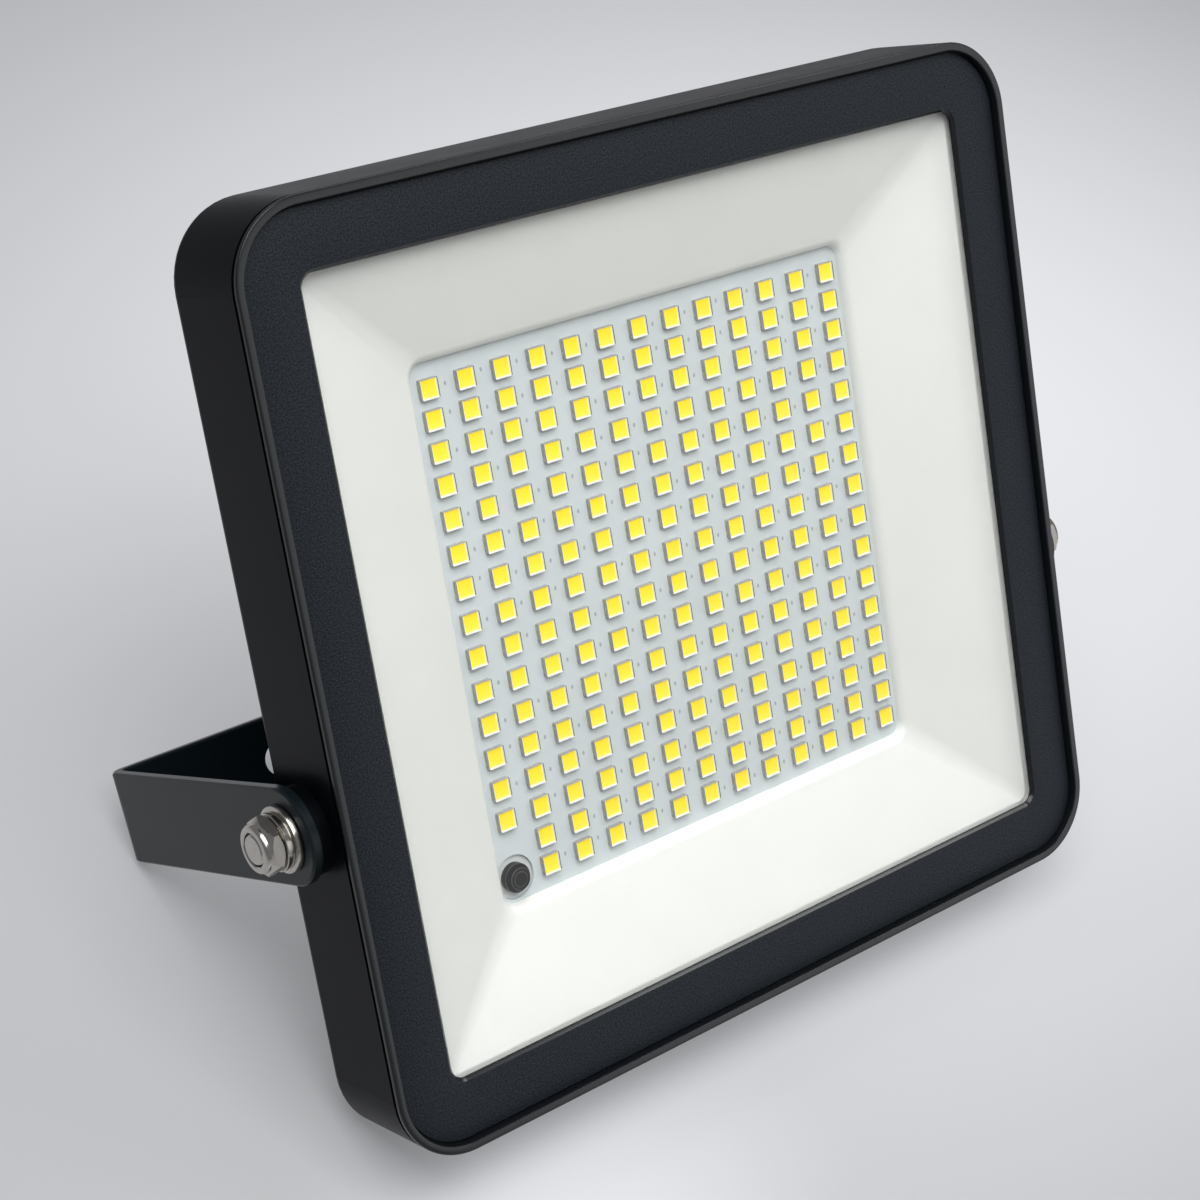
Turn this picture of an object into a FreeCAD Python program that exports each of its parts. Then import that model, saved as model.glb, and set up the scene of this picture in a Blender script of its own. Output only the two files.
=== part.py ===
import FreeCAD, Part
import math
import os

import Sketcher
from FreeCAD import Placement, Rotation, Vector

# Solar floodlight on a steel U-bracket, in millimetres.
# Every lamp piece is drawn flat: X to the right, Y up the lamp, Z out of its front, with the
# origin in the middle of the window, on the textured face. The bracket is drawn about the pivot.
# At the end all of them are leant back until the lamp's rear edge and the bracket share a floor.

# Driving sizes: name, millimetres or degrees or a count, what it is.
SIZES = [
    ("window_width", 202.0, "opening of the front frame"),
    ("window_height", 194.0, "opening of the front frame"),
    ("window_radius", 3.5, "corners of the opening"),
    ("window_bevel", 0.9, "bevel on the opening's front edge"),
    ("window_lip", 1.2, "frame left in front of the glass"),
    ("bezel_margin", 17.4, "opening to the outer edge"),
    ("corner_radius", 19.0, "outer corners of the lamp"),
    ("rim_width", 2.1, "raised rim round the textured face"),
    ("rim_height", 2.0, "how far the rim stands proud of the face"),
    ("rim_bevel", 0.3, "bevels on the rim's edges"),
    ("rim_overhang", 1.1, "rim metal in front of the shadow gap"),
    ("groove_width", 0.6, "groove at the foot of the rim"),
    ("groove_depth", 0.5, "groove at the foot of the rim"),
    ("plate_thickness", 2.6, "front frame behind its face"),
    ("shadow_gap", 1.1, "gap between rim and housing"),
    ("housing_depth", 27.7, "face to the housing's rear edge"),
    ("housing_wall", 2.6, "cast walls and back"),
    ("housing_lip", 1.0, "wall that stands outside the frame's tongue"),
    ("housing_edge", 3.0, "fillet round the back"),
    ("tongue_play", 0.1, "frame's tongue inside the housing's lip"),
    ("seal_height", 1.0, "seal under the frame's tongue"),
    ("glass_thickness", 3.0, "tempered pane"),
    ("glass_overlap", 2.2, "pane behind the frame, each side"),
    ("gasket_width", 1.2, "silicone ring round the pane"),
    ("fit_play", 0.05, "play of seated pieces"),
    ("screw_play", 0.2, "washers and screws in the holes they pass through, on the radius"),
    ("recess_play", 0.3, "screw heads in their recesses, on the radius"),
    ("reflector_wall", 1.5, "moulded reflector"),
    ("reflector_flank", 2.25, "sloping walls of the reflector, measured along the board"),
    ("reflector_ledge", 1.0, "flat rim seen inside the window"),
    ("reflector_collar", 2.3, "upright wall above the LED board"),
    ("reflector_round", 2.4, "rounding of the collar's mouth"),
    ("collar_width", 137.4, "reflector's opening over the board"),
    ("collar_height", 136.4, "reflector's opening over the board"),
    ("collar_radius", 3.5, "corners of that opening"),
    ("board_level", 17.8, "face to the front of the LED board"),
    ("board_thickness", 1.6, "LED board"),
    ("board_margin", 3.0, "board under the reflector, each side"),
    ("led_columns", 13, "count across"),
    ("led_rows", 16, "count up"),
    ("led_pitch_across", 10.62, "column to column"),
    ("led_pitch_up", 8.68, "row to row in the middle"),
    ("led_pitch_drop", 1.2, "how much closer the outermost rows are"),
    ("led_pitch_curve", 2.2, "power by which the rows close up towards both ends"),
    ("led_side", 5.0, "square package"),
    ("led_height", 1.5, "package above the board"),
    ("phosphor_side", 4.3, "square light window of a package"),
    ("phosphor_height", 0.08, "light window above the package"),
    ("sensor_radius", 3.8, "black base of the light sensor"),
    ("sensor_base", 2.2, "height of the base"),
    ("sensor_ring_radius", 2.9, "upper step"),
    ("sensor_ring", 1.2, "height of the upper step"),
    ("sensor_lens_radius", 1.5, "lens"),
    ("sensor_lens", 0.6, "how far the lens stands out of its seat"),
    ("sensor_hole", 5.7, "radius of the hole in the board"),
    ("holder_thickness", 0.8, "disc under the sensor"),
    ("spreader_side", 20.4, "aluminium plate inside the lamp's outline, left and right"),
    ("spreader_end", 24.4, "aluminium plate inside the lamp's outline, top and bottom"),
    ("spreader_thickness", 1.5, "aluminium plate"),
    ("spreader_inset", 8.0, "screws from the plate's edges"),
    ("small_screw", 1.5, "radius of an M3 shank"),
    ("small_head", 2.8, "radius of an M3 pan head"),
    ("small_head_height", 1.8, "M3 pan head"),
    ("small_post", 4.0, "radius of the posts for M3 screws"),
    ("screw_clear", 1.0, "M3 shank ends above the foot of its hole"),
    ("bay_width", 190.0, "raised battery bay on the back"),
    ("bay_height", 120.0, "raised battery bay on the back"),
    ("bay_depth", 15.5, "bay behind the back"),
    ("bay_radius", 12.0, "corners of the bay"),
    ("bay_edge", 2.5, "bevel round the bay's back"),
    ("rib_count", 11, "cooling ribs on the bay"),
    ("rib_pitch", 14.0, "rib to rib"),
    ("rib_thickness", 2.2, "rib"),
    ("rib_height", 3.0, "rib"),
    ("rib_length", 96.0, "rib"),
    ("rib_corner", 0.6, "corners of a rib"),
    ("screw_spread", 70.0, "frame screws from the middle of each side"),
    ("screw_radius", 2.0, "radius of an M4 shank"),
    ("screw_head", 3.7, "radius of an M4 pan head"),
    ("screw_head_height", 2.6, "M4 pan head"),
    ("screw_length", 20.0, "M4 shank"),
    ("screw_recess", 3.0, "depth of the recess for a head"),
    ("post_radius", 5.5, "housing posts for the frame screws"),
    ("post_merge", 0.5, "how far a post runs into the wall"),
    ("boss_radius", 4.0, "bosses on the back of the frame"),
    ("boss_length", 6.0, "bosses on the back of the frame"),
    ("pivot_up", -28.8, "pivot axis below the window's middle"),
    ("pivot_back", 15.0, "pivot axis behind the face"),
    ("pivot_boss", 3.0, "boss on the housing's side"),
    ("pivot_boss_radius", 11.0, "boss on the housing's side"),
    ("bolt_radius", 4.0, "M8 bolt"),
    ("bolt_length", 25.0, "M8 bolt under its head"),
    ("bolt_head", 5.3, "height of the bolt's head"),
    ("wrench_size", 13.0, "across the flats of head and nut"),
    ("bolt_play", 0.08, "bolt in the bracket's hole, on the radius"),
    ("washer_radius", 8.2, "flat washer"),
    ("washer_thickness", 1.6, "flat washer"),
    ("spring_radius", 7.1, "split spring washer"),
    ("spring_thickness", 1.9, "split spring washer"),
    ("spring_split", 0.9, "gap of the split"),
    ("spring_slant", 20.0, "slant of the split"),
    ("nut_height", 3.7, "hexagon of the lock nut"),
    ("nut_collar", 1.3, "round collar of the lock nut"),
    ("nut_collar_radius", 6.2, "round collar of the lock nut"),
    ("nut_collar_bevel", 0.8, "bevel of the collar"),
    ("nut_ring_radius", 5.0, "nylon ring in the collar"),
    ("nut_ring_height", 0.8, "nylon ring in the collar"),
    ("strap_width", 24.0, "steel strip of the bracket"),
    ("strap_thickness", 3.0, "steel strip of the bracket"),
    ("strap_bend", 1.5, "inner radius of its bends"),
    ("strap_edge", 0.5, "bevel of the strip's long edges"),
    ("strap_play", 0.05, "arm beside the boss and beside the washer"),
    ("arm_length", 88.0, "pivot to the bracket's outer face"),
    ("centre_hole", 5.5, "radius of the middle fixing hole"),
    ("side_hole", 4.5, "radius of the outer fixing holes"),
    ("side_hole_spread", 77.0, "outer fixing holes from the middle"),
    ("bracket_angle", 8.0, "arms point this much below the lamp's rear normal"),
    ("cell_radius", 9.2, "round battery cell"),
    ("cell_length", 65.2, "round battery cell"),
    ("cell_pitch", 19.2, "cell to cell"),
    ("cell_rows", 4, "cells up the pack"),
    ("cell_nub_radius", 2.8, "positive end"),
    ("cell_nub", 0.8, "positive end"),
    ("pack_shift", -16.0, "pack from the middle, across"),
    ("pack_wall", 1.6, "moulded battery tray"),
    ("control_width", 34.0, "charge controller board"),
    ("control_height", 76.0, "charge controller board"),
    ("control_shift", 71.5, "controller from the middle, across"),
    ("control_post", 4.0, "height of the posts under the controller"),
    ("control_post_radius", 3.0, "posts under the controller"),
    ("control_inset", 4.0, "controller's screws from its edges"),
    ("control_corner", 2.0, "corners of the controller board"),
    ("gland_shift", 40.0, "cable gland from the middle, across"),
    ("gland_thread", 5.0, "radius of the gland's thread"),
    ("gland_size", 12.0, "across the flats of the gland"),
    ("gland_flange", 4.0, "hexagon of the gland's body"),
    ("gland_neck", 4.0, "neck that holds the seal"),
    ("gland_neck_radius", 4.6, "neck that holds the seal"),
    ("gland_clearance", 0.4, "gland beside the housing's back"),
    ("gland_cap", 9.0, "domed cap nut"),
    ("gland_bore", 3.4, "radius inside the gland's body"),
    ("gland_seal_bore", 2.2, "radius of the hole in the rubber seal"),
    ("gland_locknut", 3.0, "lock nut inside the wall"),
    ("gland_dome", 3.0, "tapered end of the cap nut"),
    ("gland_taper", 2.25, "how much the cap nut's end narrows, on the radius"),
    ("gland_mouth", 3.0, "radius of the cap nut's hole"),
    ("seal_recess", 0.2, "rubber seal below the neck's end"),
    ("coil_radius", 5.5, "controller's coil"),
    ("coil_height", 5.0, "controller's coil"),
    ("coil_well", 2.0, "radius of the coil's well"),
    ("coil_well_depth", 1.2, "coil's well"),
    ("coil_up", 17.0, "coil above the controller's middle"),
    ("chip_side", 9.0, "controller's chip"),
    ("chip_height", 1.6, "controller's chip"),
    ("chip_radius", 0.4, "corners of the chip"),
    ("chip_shift", -4.0, "chip from the controller's middle, across"),
    ("chip_up", -1.0, "chip above the controller's middle"),
    ("capacitor_radius", 4.0, "controller's capacitor"),
    ("capacitor_height", 7.0, "controller's capacitor"),
    ("capacitor_edge", 0.6, "bevelled top of the capacitor"),
    ("capacitor_shift", 8.0, "capacitor from the controller's middle, across"),
    ("capacitor_up", -5.0, "capacitor above the controller's middle"),
    ("socket_width", 12.0, "socket for the battery and panel leads"),
    ("socket_depth", 6.0, "socket for the battery and panel leads"),
    ("socket_height", 7.0, "socket for the battery and panel leads"),
    ("socket_wall", 1.2, "walls and floor of the socket"),
    ("socket_up", -26.0, "socket above the controller's middle"),
    ("screw_slot", 0.8, "width and depth of a slot in a screw's head"),
    ("nut_face", 0.475, "radius of a nut's flat end as a share of its width"),
    ("thread_point", 0.6, "bevel at the end of the pivot bolt"),
    ("cut_over", 1.0, "how far a cutter runs past the face it opens"),
    ("melt", 0.1, "how far two blocks of one moulding run into each other"),
]
same_place = 0.01       # edges this close to a level or a width are taken to lie on it
least_cut = 1e-6        # cubic millimetres below which a pocket has cut nothing

doc = FreeCAD.newDocument("solar_floodlight")
sheet = doc.addObject("Spreadsheet::Sheet", "Sizes")
for line, (alias, number, note) in enumerate(SIZES, start=1):
    sheet.set(f"A{line}", alias)
    sheet.set(f"B{line}", str(number))
    sheet.set(f"C{line}", note)
    sheet.setAlias(f"B{line}", alias)
doc.recompute()


class Size:
    """A number together with the sheet expression that gives it."""

    def __init__(self, text, number):
        self.text = text
        self.number = number

    def __add__(self, other):
        other = as_size(other)
        return Size(f"({self.text} + {other.text})", self.number + other.number)

    def __sub__(self, other):
        other = as_size(other)
        return Size(f"({self.text} - {other.text})", self.number - other.number)

    def __mul__(self, other):
        other = as_size(other)
        return Size(f"({self.text} * {other.text})", self.number * other.number)

    def __truediv__(self, other):
        other = as_size(other)
        return Size(f"({self.text} / {other.text})", self.number / other.number)

    def __neg__(self):
        return Size(f"(0 - {self.text})", -self.number)

    def __radd__(self, other):
        return as_size(other) + self

    def __rsub__(self, other):
        return as_size(other) - self

    def __rmul__(self, other):
        return as_size(other) * self


def as_size(value):
    if isinstance(value, Size):
        return value
    return Size(repr(float(value)), float(value))


def cell(alias):
    return Size(f"Sizes.{alias}", float(sheet.get(alias)))


def bind(thing, field, value):
    thing.setExpression(field, as_size(value).text)


# Levels along Z and outlines that several pieces share.
lamp_width = cell("window_width") + 2 * cell("bezel_margin")
lamp_height = cell("window_height") + 2 * cell("bezel_margin")
plate_back = -cell("plate_thickness")
glass_front = -cell("window_lip")
glass_back = glass_front - cell("glass_thickness")
board_front = -cell("board_level")
board_back = board_front - cell("board_thickness")
spreader_back = board_back - cell("spreader_thickness")
rim_front = cell("rim_height")
rim_back = rim_front - cell("rim_overhang")
housing_front = rim_back - cell("shadow_gap")
housing_back = -cell("housing_depth")
housing_floor = housing_back + cell("housing_wall")
ledge = plate_back - cell("seal_height")
bay_back = housing_back - cell("bay_depth")
bay_floor = bay_back + cell("housing_wall")
tongue_inset = cell("housing_lip") + cell("tongue_play")
post_inset = cell("housing_wall") + cell("post_radius") - cell("post_merge")
boss_end = plate_back - cell("boss_length")
head_seat = housing_back + cell("screw_recess")

# Distances along X from the lamp's middle out to the end of the pivot bolt.
boss_face = lamp_width / 2 + cell("pivot_boss")
arm_inner = boss_face + cell("strap_play")
arm_outer = arm_inner + cell("strap_thickness")
washer_seat = arm_outer + cell("strap_play")
spring_seat = washer_seat + cell("washer_thickness")
nut_seat = spring_seat + cell("spring_thickness")
bolt_end = nut_seat + cell("nut_height") + cell("nut_collar")
bolt_seat = bolt_end - cell("bolt_length")
pivot_z = -cell("pivot_back")


def lamp_outline(inset):
    """Outer outline of the lamp, drawn in by a distance."""
    inset = as_size(inset)
    return (lamp_width - 2 * inset, lamp_height - 2 * inset, cell("corner_radius") - inset)


def window_outline(grow):
    """Outline of the window, let out by a distance."""
    grow = as_size(grow)
    width = cell("window_width") + 2 * grow
    return (width, cell("window_height") + 2 * grow, cell("window_radius") + grow)


def collar_outline(grow):
    """Outline of the reflector's opening, let out by a distance."""
    grow = as_size(grow)
    width = cell("collar_width") + 2 * grow
    return (width, cell("collar_height") + 2 * grow, cell("collar_radius") + grow)


def spreader_outline():
    """Outline of the plate behind the LED board; its corners run round its posts."""
    width = lamp_width - 2 * cell("spreader_side")
    return (width, lamp_height - 2 * cell("spreader_end"), cell("small_post"))


def new_body(label):
    body = doc.addObject("PartDesign::Body", label)
    body.Label = label
    return body


def sketch_on(body, role, level):
    """A sketch on one of the body's own origin planes, lifted along the plane's normal."""
    sketch = body.newObject("Sketcher::SketchObject", "Sketch")
    plane = [part for part in body.Origin.OriginFeatures if part.Role == role][0]
    sketch.AttachmentSupport = [(plane, "")]
    sketch.MapMode = "FlatFace"
    bind(sketch, ".AttachmentOffset.Base.z", level)
    return sketch


def constrain(sketch, name, value, *words):
    """A driving constraint whose datum comes from the sheet."""
    value = as_size(value)
    index = sketch.addConstraint(Sketcher.Constraint(*words, value.number))
    sketch.renameConstraint(index, name)
    bind(sketch, f"Constraints.{name}", value)


def along(sketch, name, direction, value, geometry, point):
    """Signed distance of a point from the sketch's origin, kept positive for the solver."""
    value = as_size(value)
    if value.number < 0:
        constrain(sketch, name, -value, direction, geometry, point, -1, 1)
    else:
        constrain(sketch, name, value, direction, -1, 1, geometry, point)


def add_rounded(sketch, outline, across=0.0, up=0.0, tag="r"):
    """A rounded rectangle: its width, height, corner radius and centre come from the sheet."""
    width, height, radius = [as_size(item) for item in outline]
    across, up = as_size(across), as_size(up)
    half_w, half_h, r = width.number / 2, height.number / 2, radius.number
    x, y = across.number, up.number
    corners = [(1, -1, 270), (1, 1, 0), (-1, 1, 90), (-1, -1, 180)]
    first = sketch.GeometryCount
    ends = [
        ((-half_w + r, -half_h), (half_w - r, -half_h)),
        ((half_w, -half_h + r), (half_w, half_h - r)),
        ((half_w - r, half_h), (-half_w + r, half_h)),
        ((-half_w, half_h - r), (-half_w, -half_h + r)),
    ]
    for side in range(4):
        start, end = [Vector(x + a, y + b, 0) for a, b in ends[side]]
        sketch.addGeometry(Part.LineSegment(start, end))
        right, top, angle = corners[side]
        middle = Vector(x + right * (half_w - r), y + top * (half_h - r), 0)
        ring = Part.Circle(middle, Vector(0, 0, 1), r)
        turn = math.radians(angle)
        sketch.addGeometry(Part.ArcOfCircle(ring, turn, turn + math.pi / 2))
    lines = [first, first + 2, first + 4, first + 6]
    arcs = [first + 1, first + 3, first + 5, first + 7]
    for side in range(4):
        line, arc = lines[side], arcs[side]
        sketch.addConstraint(Sketcher.Constraint("Tangent", line, 2, arc, 1))
        sketch.addConstraint(Sketcher.Constraint("Tangent", arc, 2, lines[(side + 1) % 4], 1))
        sketch.addConstraint(Sketcher.Constraint("Vertical" if side % 2 else "Horizontal", line))
        if side:
            sketch.addConstraint(Sketcher.Constraint("Equal", arcs[0], arc))
    constrain(sketch, tag + "_radius", radius, "Radius", arcs[0])
    constrain(sketch, tag + "_width", width, "DistanceX", lines[3], 1, lines[1], 1)
    constrain(sketch, tag + "_height", height, "DistanceY", lines[0], 1, lines[2], 1)
    along(sketch, tag + "_left", "DistanceX", across - width / 2, lines[3], 1)
    along(sketch, tag + "_foot", "DistanceY", up - height / 2, lines[0], 1)


def add_circle(sketch, radius, across=0.0, up=0.0, tag="c"):
    radius, across, up = as_size(radius), as_size(across), as_size(up)
    middle = Vector(across.number, up.number, 0)
    ring = sketch.addGeometry(Part.Circle(middle, Vector(0, 0, 1), radius.number))
    constrain(sketch, tag + "_radius", radius, "Radius", ring)
    if across.number == 0 and up.number == 0:
        sketch.addConstraint(Sketcher.Constraint("Coincident", ring, 3, -1, 1))
        return
    along(sketch, tag + "_across", "DistanceX", across, ring, 3)
    along(sketch, tag + "_up", "DistanceY", up, ring, 3)


def pad(body, sketch, length, midplane=False, turned=False):
    feature = body.newObject("PartDesign::Pad", "Pad")
    feature.Profile = sketch
    bind(feature, "Length", length)
    feature.Midplane = midplane
    feature.Reversed = turned
    doc.recompute()
    return feature


def pocket(body, sketch, depth, midplane=False, turned=False):
    feature = body.newObject("PartDesign::Pocket", "Pocket")
    feature.Profile = sketch
    bind(feature, "Length", depth)
    feature.Midplane = midplane
    feature.Reversed = turned
    before = feature.BaseFeature.Shape.Volume
    doc.recompute()
    if feature.Shape.Volume > before - least_cut:
        raise RuntimeError(f"{body.Label}: a pocket cuts nothing")
    return feature


def block(body, outline, low, high, across=0.0, up=0.0):
    """Rounded rectangular pad between two levels along Z."""
    sketch = sketch_on(body, "XY_Plane", low)
    add_rounded(sketch, outline, across, up)
    return pad(body, sketch, high - low)


def hollow(body, outline, high, low, across=0.0, up=0.0):
    """Rounded rectangular pocket from one level down to another."""
    sketch = sketch_on(body, "XY_Plane", high)
    add_rounded(sketch, outline, across, up)
    return pocket(body, sketch, high - low)


def frame_ring(body, outer, inner, low, high):
    """Rounded rectangular ring between two levels."""
    sketch = sketch_on(body, "XY_Plane", low)
    add_rounded(sketch, outer, tag="outer")
    add_rounded(sketch, inner, tag="inner")
    return pad(body, sketch, high - low)


def circles(body, places, radius, level, length, cut=False, turned=False):
    """The same circle at several places of one level, padded or cut as one feature."""
    sketch = sketch_on(body, "XY_Plane", level)
    for number, (across, up) in enumerate(places):
        add_circle(sketch, radius, across, up, tag=f"c{number}")
    make = pocket if cut else pad
    return make(body, sketch, length, turned=turned)


def edges_where(shape, test):
    """Names of the edges whose bounding boxes pass a test."""
    found = []
    for number, edge in enumerate(shape.Edges, start=1):
        if test(edge.BoundBox):
            found.append(f"Edge{number}")
    return found


def edges_in_plane(shape, level, half_low, half_high):
    """Edges that lie at one level and reach out between two half widths."""

    def test(box):
        flat = abs(box.ZMin - level) < same_place and abs(box.ZMax - level) < same_place
        reach = max(abs(box.XMin), abs(box.XMax)) - same_place
        rise = max(abs(box.YMin), abs(box.YMax)) - same_place
        inside = reach < half_high[0] and rise < half_high[1]
        outside = reach > half_low[0] or rise > half_low[1]
        return flat and inside and outside

    return edges_where(shape, test)


def dress(body, kind, field, value, names):
    """Fillet or chamfer on named edges of the body's last feature."""
    feature = body.newObject(f"PartDesign::{kind}", kind)
    feature.Base = (feature.BaseFeature, names)
    bind(feature, field, value)
    doc.recompute()
    return feature


def half_sizes(outline, grow):
    return [outline[0].number / 2 + grow, outline[1].number / 2 + grow]


def edge_of_outline(body, kind, value, outline, level):
    """Dress the outer loop of edges that an outline leaves at one level."""
    level = as_size(level).number
    low = half_sizes(outline, -outline[2].number / 2)
    names = edges_in_plane(body.Tip.Shape, level, low, half_sizes(outline, same_place))
    low_side = half_sizes(outline, -same_place)
    kept = []
    for name in names:
        box = body.Tip.Shape.getElement(name).BoundBox
        reach = max(abs(box.XMin), abs(box.XMax))
        rise = max(abs(box.YMin), abs(box.YMax))
        if reach > low_side[0] or rise > low_side[1]:
            kept.append(name)
    field = "Radius" if kind == "Fillet" else "Size"
    return dress(body, kind, field, value, kept)


def screw_places():
    """Two frame screws on each side of the lamp, inside the wall."""
    side = lamp_width / 2 - post_inset
    top = lamp_height / 2 - post_inset
    spread = cell("screw_spread")
    places = []
    for sign in (-1, 1):
        for other in (-1, 1):
            places.append((sign * side, other * spread))
            places.append((sign * spread, other * top))
    return places


def corner_places(width, height, inset, across=0.0):
    """The four corners of a plate, drawn in by a distance."""
    side = width / 2 - inset
    top = height / 2 - inset
    return [(across + sign * side, other * top) for sign in (-1, 1) for other in (-1, 1)]


def make_front_frame():
    body = new_body("front_frame")
    block(body, lamp_outline(tongue_inset), plate_back, rim_back)
    block(body, lamp_outline(0), rim_back, rim_front)
    hollow(body, lamp_outline(cell("rim_width")), rim_front, as_size(0))
    groove = sketch_on(body, "XY_Plane", 0)
    add_rounded(groove, lamp_outline(cell("rim_width")), tag="outer")
    add_rounded(groove, lamp_outline(cell("rim_width") + cell("groove_width")), tag="inner")
    pocket(body, groove, cell("groove_depth"))
    hollow(body, window_outline(0), as_size(0), plate_back)
    rebate = cell("glass_overlap") + cell("gasket_width") + cell("fit_play") * 2
    hollow(body, window_outline(rebate), glass_front, plate_back)
    edge_of_outline(body, "Chamfer", cell("window_bevel"), window_outline(0), 0)
    edge_of_outline(body, "Chamfer", cell("rim_bevel"), lamp_outline(0), rim_front)
    edge_of_outline(body, "Chamfer", cell("rim_bevel"), lamp_outline(cell("rim_width")), rim_front)
    places = screw_places()
    circles(body, places, cell("boss_radius"), boss_end, plate_back - boss_end)
    tapped = cell("screw_radius") + cell("fit_play")
    circles(body, places, tapped, boss_end, cell("boss_length"), cut=True, turned=True)
    return body


def add_pivot_bosses(body):
    """Outer bosses as one bar through the housing; the cavity is cut out of it later."""
    sketch = sketch_on(body, "YZ_Plane", 0)
    add_circle(sketch, cell("pivot_boss_radius"), cell("pivot_up"), pivot_z)
    pad(body, sketch, boss_face * 2, midplane=True)


def add_bolt_seats(body):
    """Thick seats inside both side walls for the heads of the pivot bolts."""
    for side in (-1, 1):
        sketch = sketch_on(body, "YZ_Plane", bolt_seat * side)
        add_circle(sketch, cell("pivot_boss_radius"), cell("pivot_up"), pivot_z)
        inner_wall = lamp_width / 2 - cell("housing_wall") / 2
        pad(body, sketch, inner_wall - bolt_seat, turned=side < 0)
    sketch = sketch_on(body, "YZ_Plane", 0)
    add_circle(sketch, cell("bolt_radius") + cell("fit_play"), cell("pivot_up"), pivot_z)
    pocket(body, sketch, (boss_face + cell("cut_over")) * 2, midplane=True)


def add_ribs(body):
    """Cooling ribs on the back of the battery bay, as a pattern of one rib."""
    root = cell("housing_wall") / 2
    sketch = sketch_on(body, "XY_Plane", bay_back - cell("rib_height"))
    start = -cell("rib_pitch") * (cell("rib_count") - 1) / 2
    rib = (cell("rib_thickness"), cell("rib_length"), cell("rib_corner"))
    add_rounded(sketch, rib, across=start)
    feature = pad(body, sketch, cell("rib_height") + root)
    pattern = body.newObject("PartDesign::LinearPattern", "Ribs")
    pattern.Originals = [feature]
    pattern.Direction = (sketch, ["H_Axis"])
    bind(pattern, "Length", cell("rib_pitch") * (cell("rib_count") - 1))
    bind(pattern, "Occurrences", cell("rib_count"))
    body.Tip = pattern
    doc.recompute()


def make_rear_housing():
    body = new_body("rear_housing")
    wall = cell("housing_wall")
    bay = (cell("bay_width"), cell("bay_height"), cell("bay_radius"))
    bay_inside = (bay[0] - 2 * wall, bay[1] - 2 * wall, bay[2] - wall)
    block(body, lamp_outline(0), housing_back, housing_front)
    edge_of_outline(body, "Fillet", cell("housing_edge"), lamp_outline(0), housing_back)
    block(body, bay, bay_back, housing_floor)
    edge_of_outline(body, "Chamfer", cell("bay_edge"), bay, bay_back)
    add_pivot_bosses(body)
    hollow(body, lamp_outline(wall), housing_front, housing_floor)
    hollow(body, lamp_outline(cell("housing_lip")), housing_front, ledge)
    hollow(body, bay_inside, housing_floor, bay_floor)
    add_ribs(body)
    add_bolt_seats(body)
    places = screw_places()
    post_top = boss_end - cell("fit_play")
    root = wall / 2
    circles(body, places, cell("post_radius"), housing_floor - root, post_top - housing_floor + root)
    through = cell("screw_radius") + cell("screw_play")
    circles(body, places, through, post_top, post_top - housing_back, cut=True)
    recess = cell("screw_head") + cell("recess_play")
    circles(body, places, recess, housing_back, cell("screw_recess"), cut=True, turned=True)
    spots = corner_places(*spreader_outline()[:2], cell("spreader_inset"))
    circles(body, spots, cell("small_post"), housing_floor - root, spreader_back - housing_floor + root)
    bore = cell("small_screw") + cell("fit_play")
    circles(body, spots, bore, spreader_back, spreader_back - housing_floor, cut=True)
    board = (cell("control_width"), cell("control_height"), cell("control_inset"))
    spots = corner_places(*board, across=cell("control_shift"))
    post = cell("control_post")
    circles(body, spots, cell("control_post_radius"), bay_floor - root, post + root)
    circles(body, spots, bore, bay_floor + post, post, cut=True)
    over = cell("cut_over")
    sketch = sketch_on(body, "XZ_Plane", cell("bay_height") / 2 + over)
    add_circle(sketch, cell("gland_thread") + cell("fit_play"), cell("gland_shift"), gland_level)
    pocket(body, sketch, wall + over * 2)
    return body


def make_ring(label, outer, inner, low, high):
    body = new_body(label)
    frame_ring(body, outer, inner, low, high)
    return body


def loft(body, kind, outlines):
    """Ruled loft through rounded rectangles, each given with its level."""
    sections = []
    for outline, level in outlines:
        sketch = sketch_on(body, "XY_Plane", level)
        add_rounded(sketch, outline)
        sections.append(sketch)
    doc.recompute()
    feature = body.newObject(f"PartDesign::{kind}", kind)
    feature.Profile = sections[0]
    feature.Sections = sections[1:]
    feature.Ruled = True
    doc.recompute()
    return feature


def make_reflector():
    """White tray: flat ledge behind the pane, four sloping walls, upright collar on the board."""
    body = new_body("reflector")
    wall = cell("reflector_wall")
    ledge_outer = cell("glass_overlap") + cell("gasket_width")
    mouth = -cell("reflector_ledge")
    collar_top = board_front + cell("reflector_collar")
    ledge_back = glass_back - wall
    loft(body, "AdditiveLoft", [
        (window_outline(mouth + cell("reflector_flank")), glass_back),
        (collar_outline(wall), collar_top - wall),
    ])
    block(body, window_outline(ledge_outer), ledge_back, glass_back)
    block(body, collar_outline(wall), board_front, collar_top - wall + cell("melt"))
    loft(body, "SubtractiveLoft", [
        (window_outline(mouth), glass_back),
        (collar_outline(0), collar_top),
    ])
    hollow(body, collar_outline(0), collar_top + cell("melt"), board_front)
    edge_of_outline(body, "Fillet", cell("reflector_round"), collar_outline(0), collar_top)
    return body


def make_plate(label, outline, low, high, across=0.0, up=0.0):
    body = new_body(label)
    block(body, outline, low, high, across, up)
    return body


def row_heights():
    """Heights of the LED rows: even in the middle and a little closer towards both ends."""
    rows = int(cell("led_rows").number)
    middle = (rows - 2) / 2
    gaps = []
    curve = cell("led_pitch_curve").number
    for gap in range(rows - 1):
        near_end = (abs(gap - middle) / middle) ** curve
        gaps.append(cell("led_pitch_up").number - cell("led_pitch_drop").number * near_end)
    height = sum(gaps) / 2
    heights = [height]
    for gap in gaps:
        height -= gap
        heights.append(height)
    return heights


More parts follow.
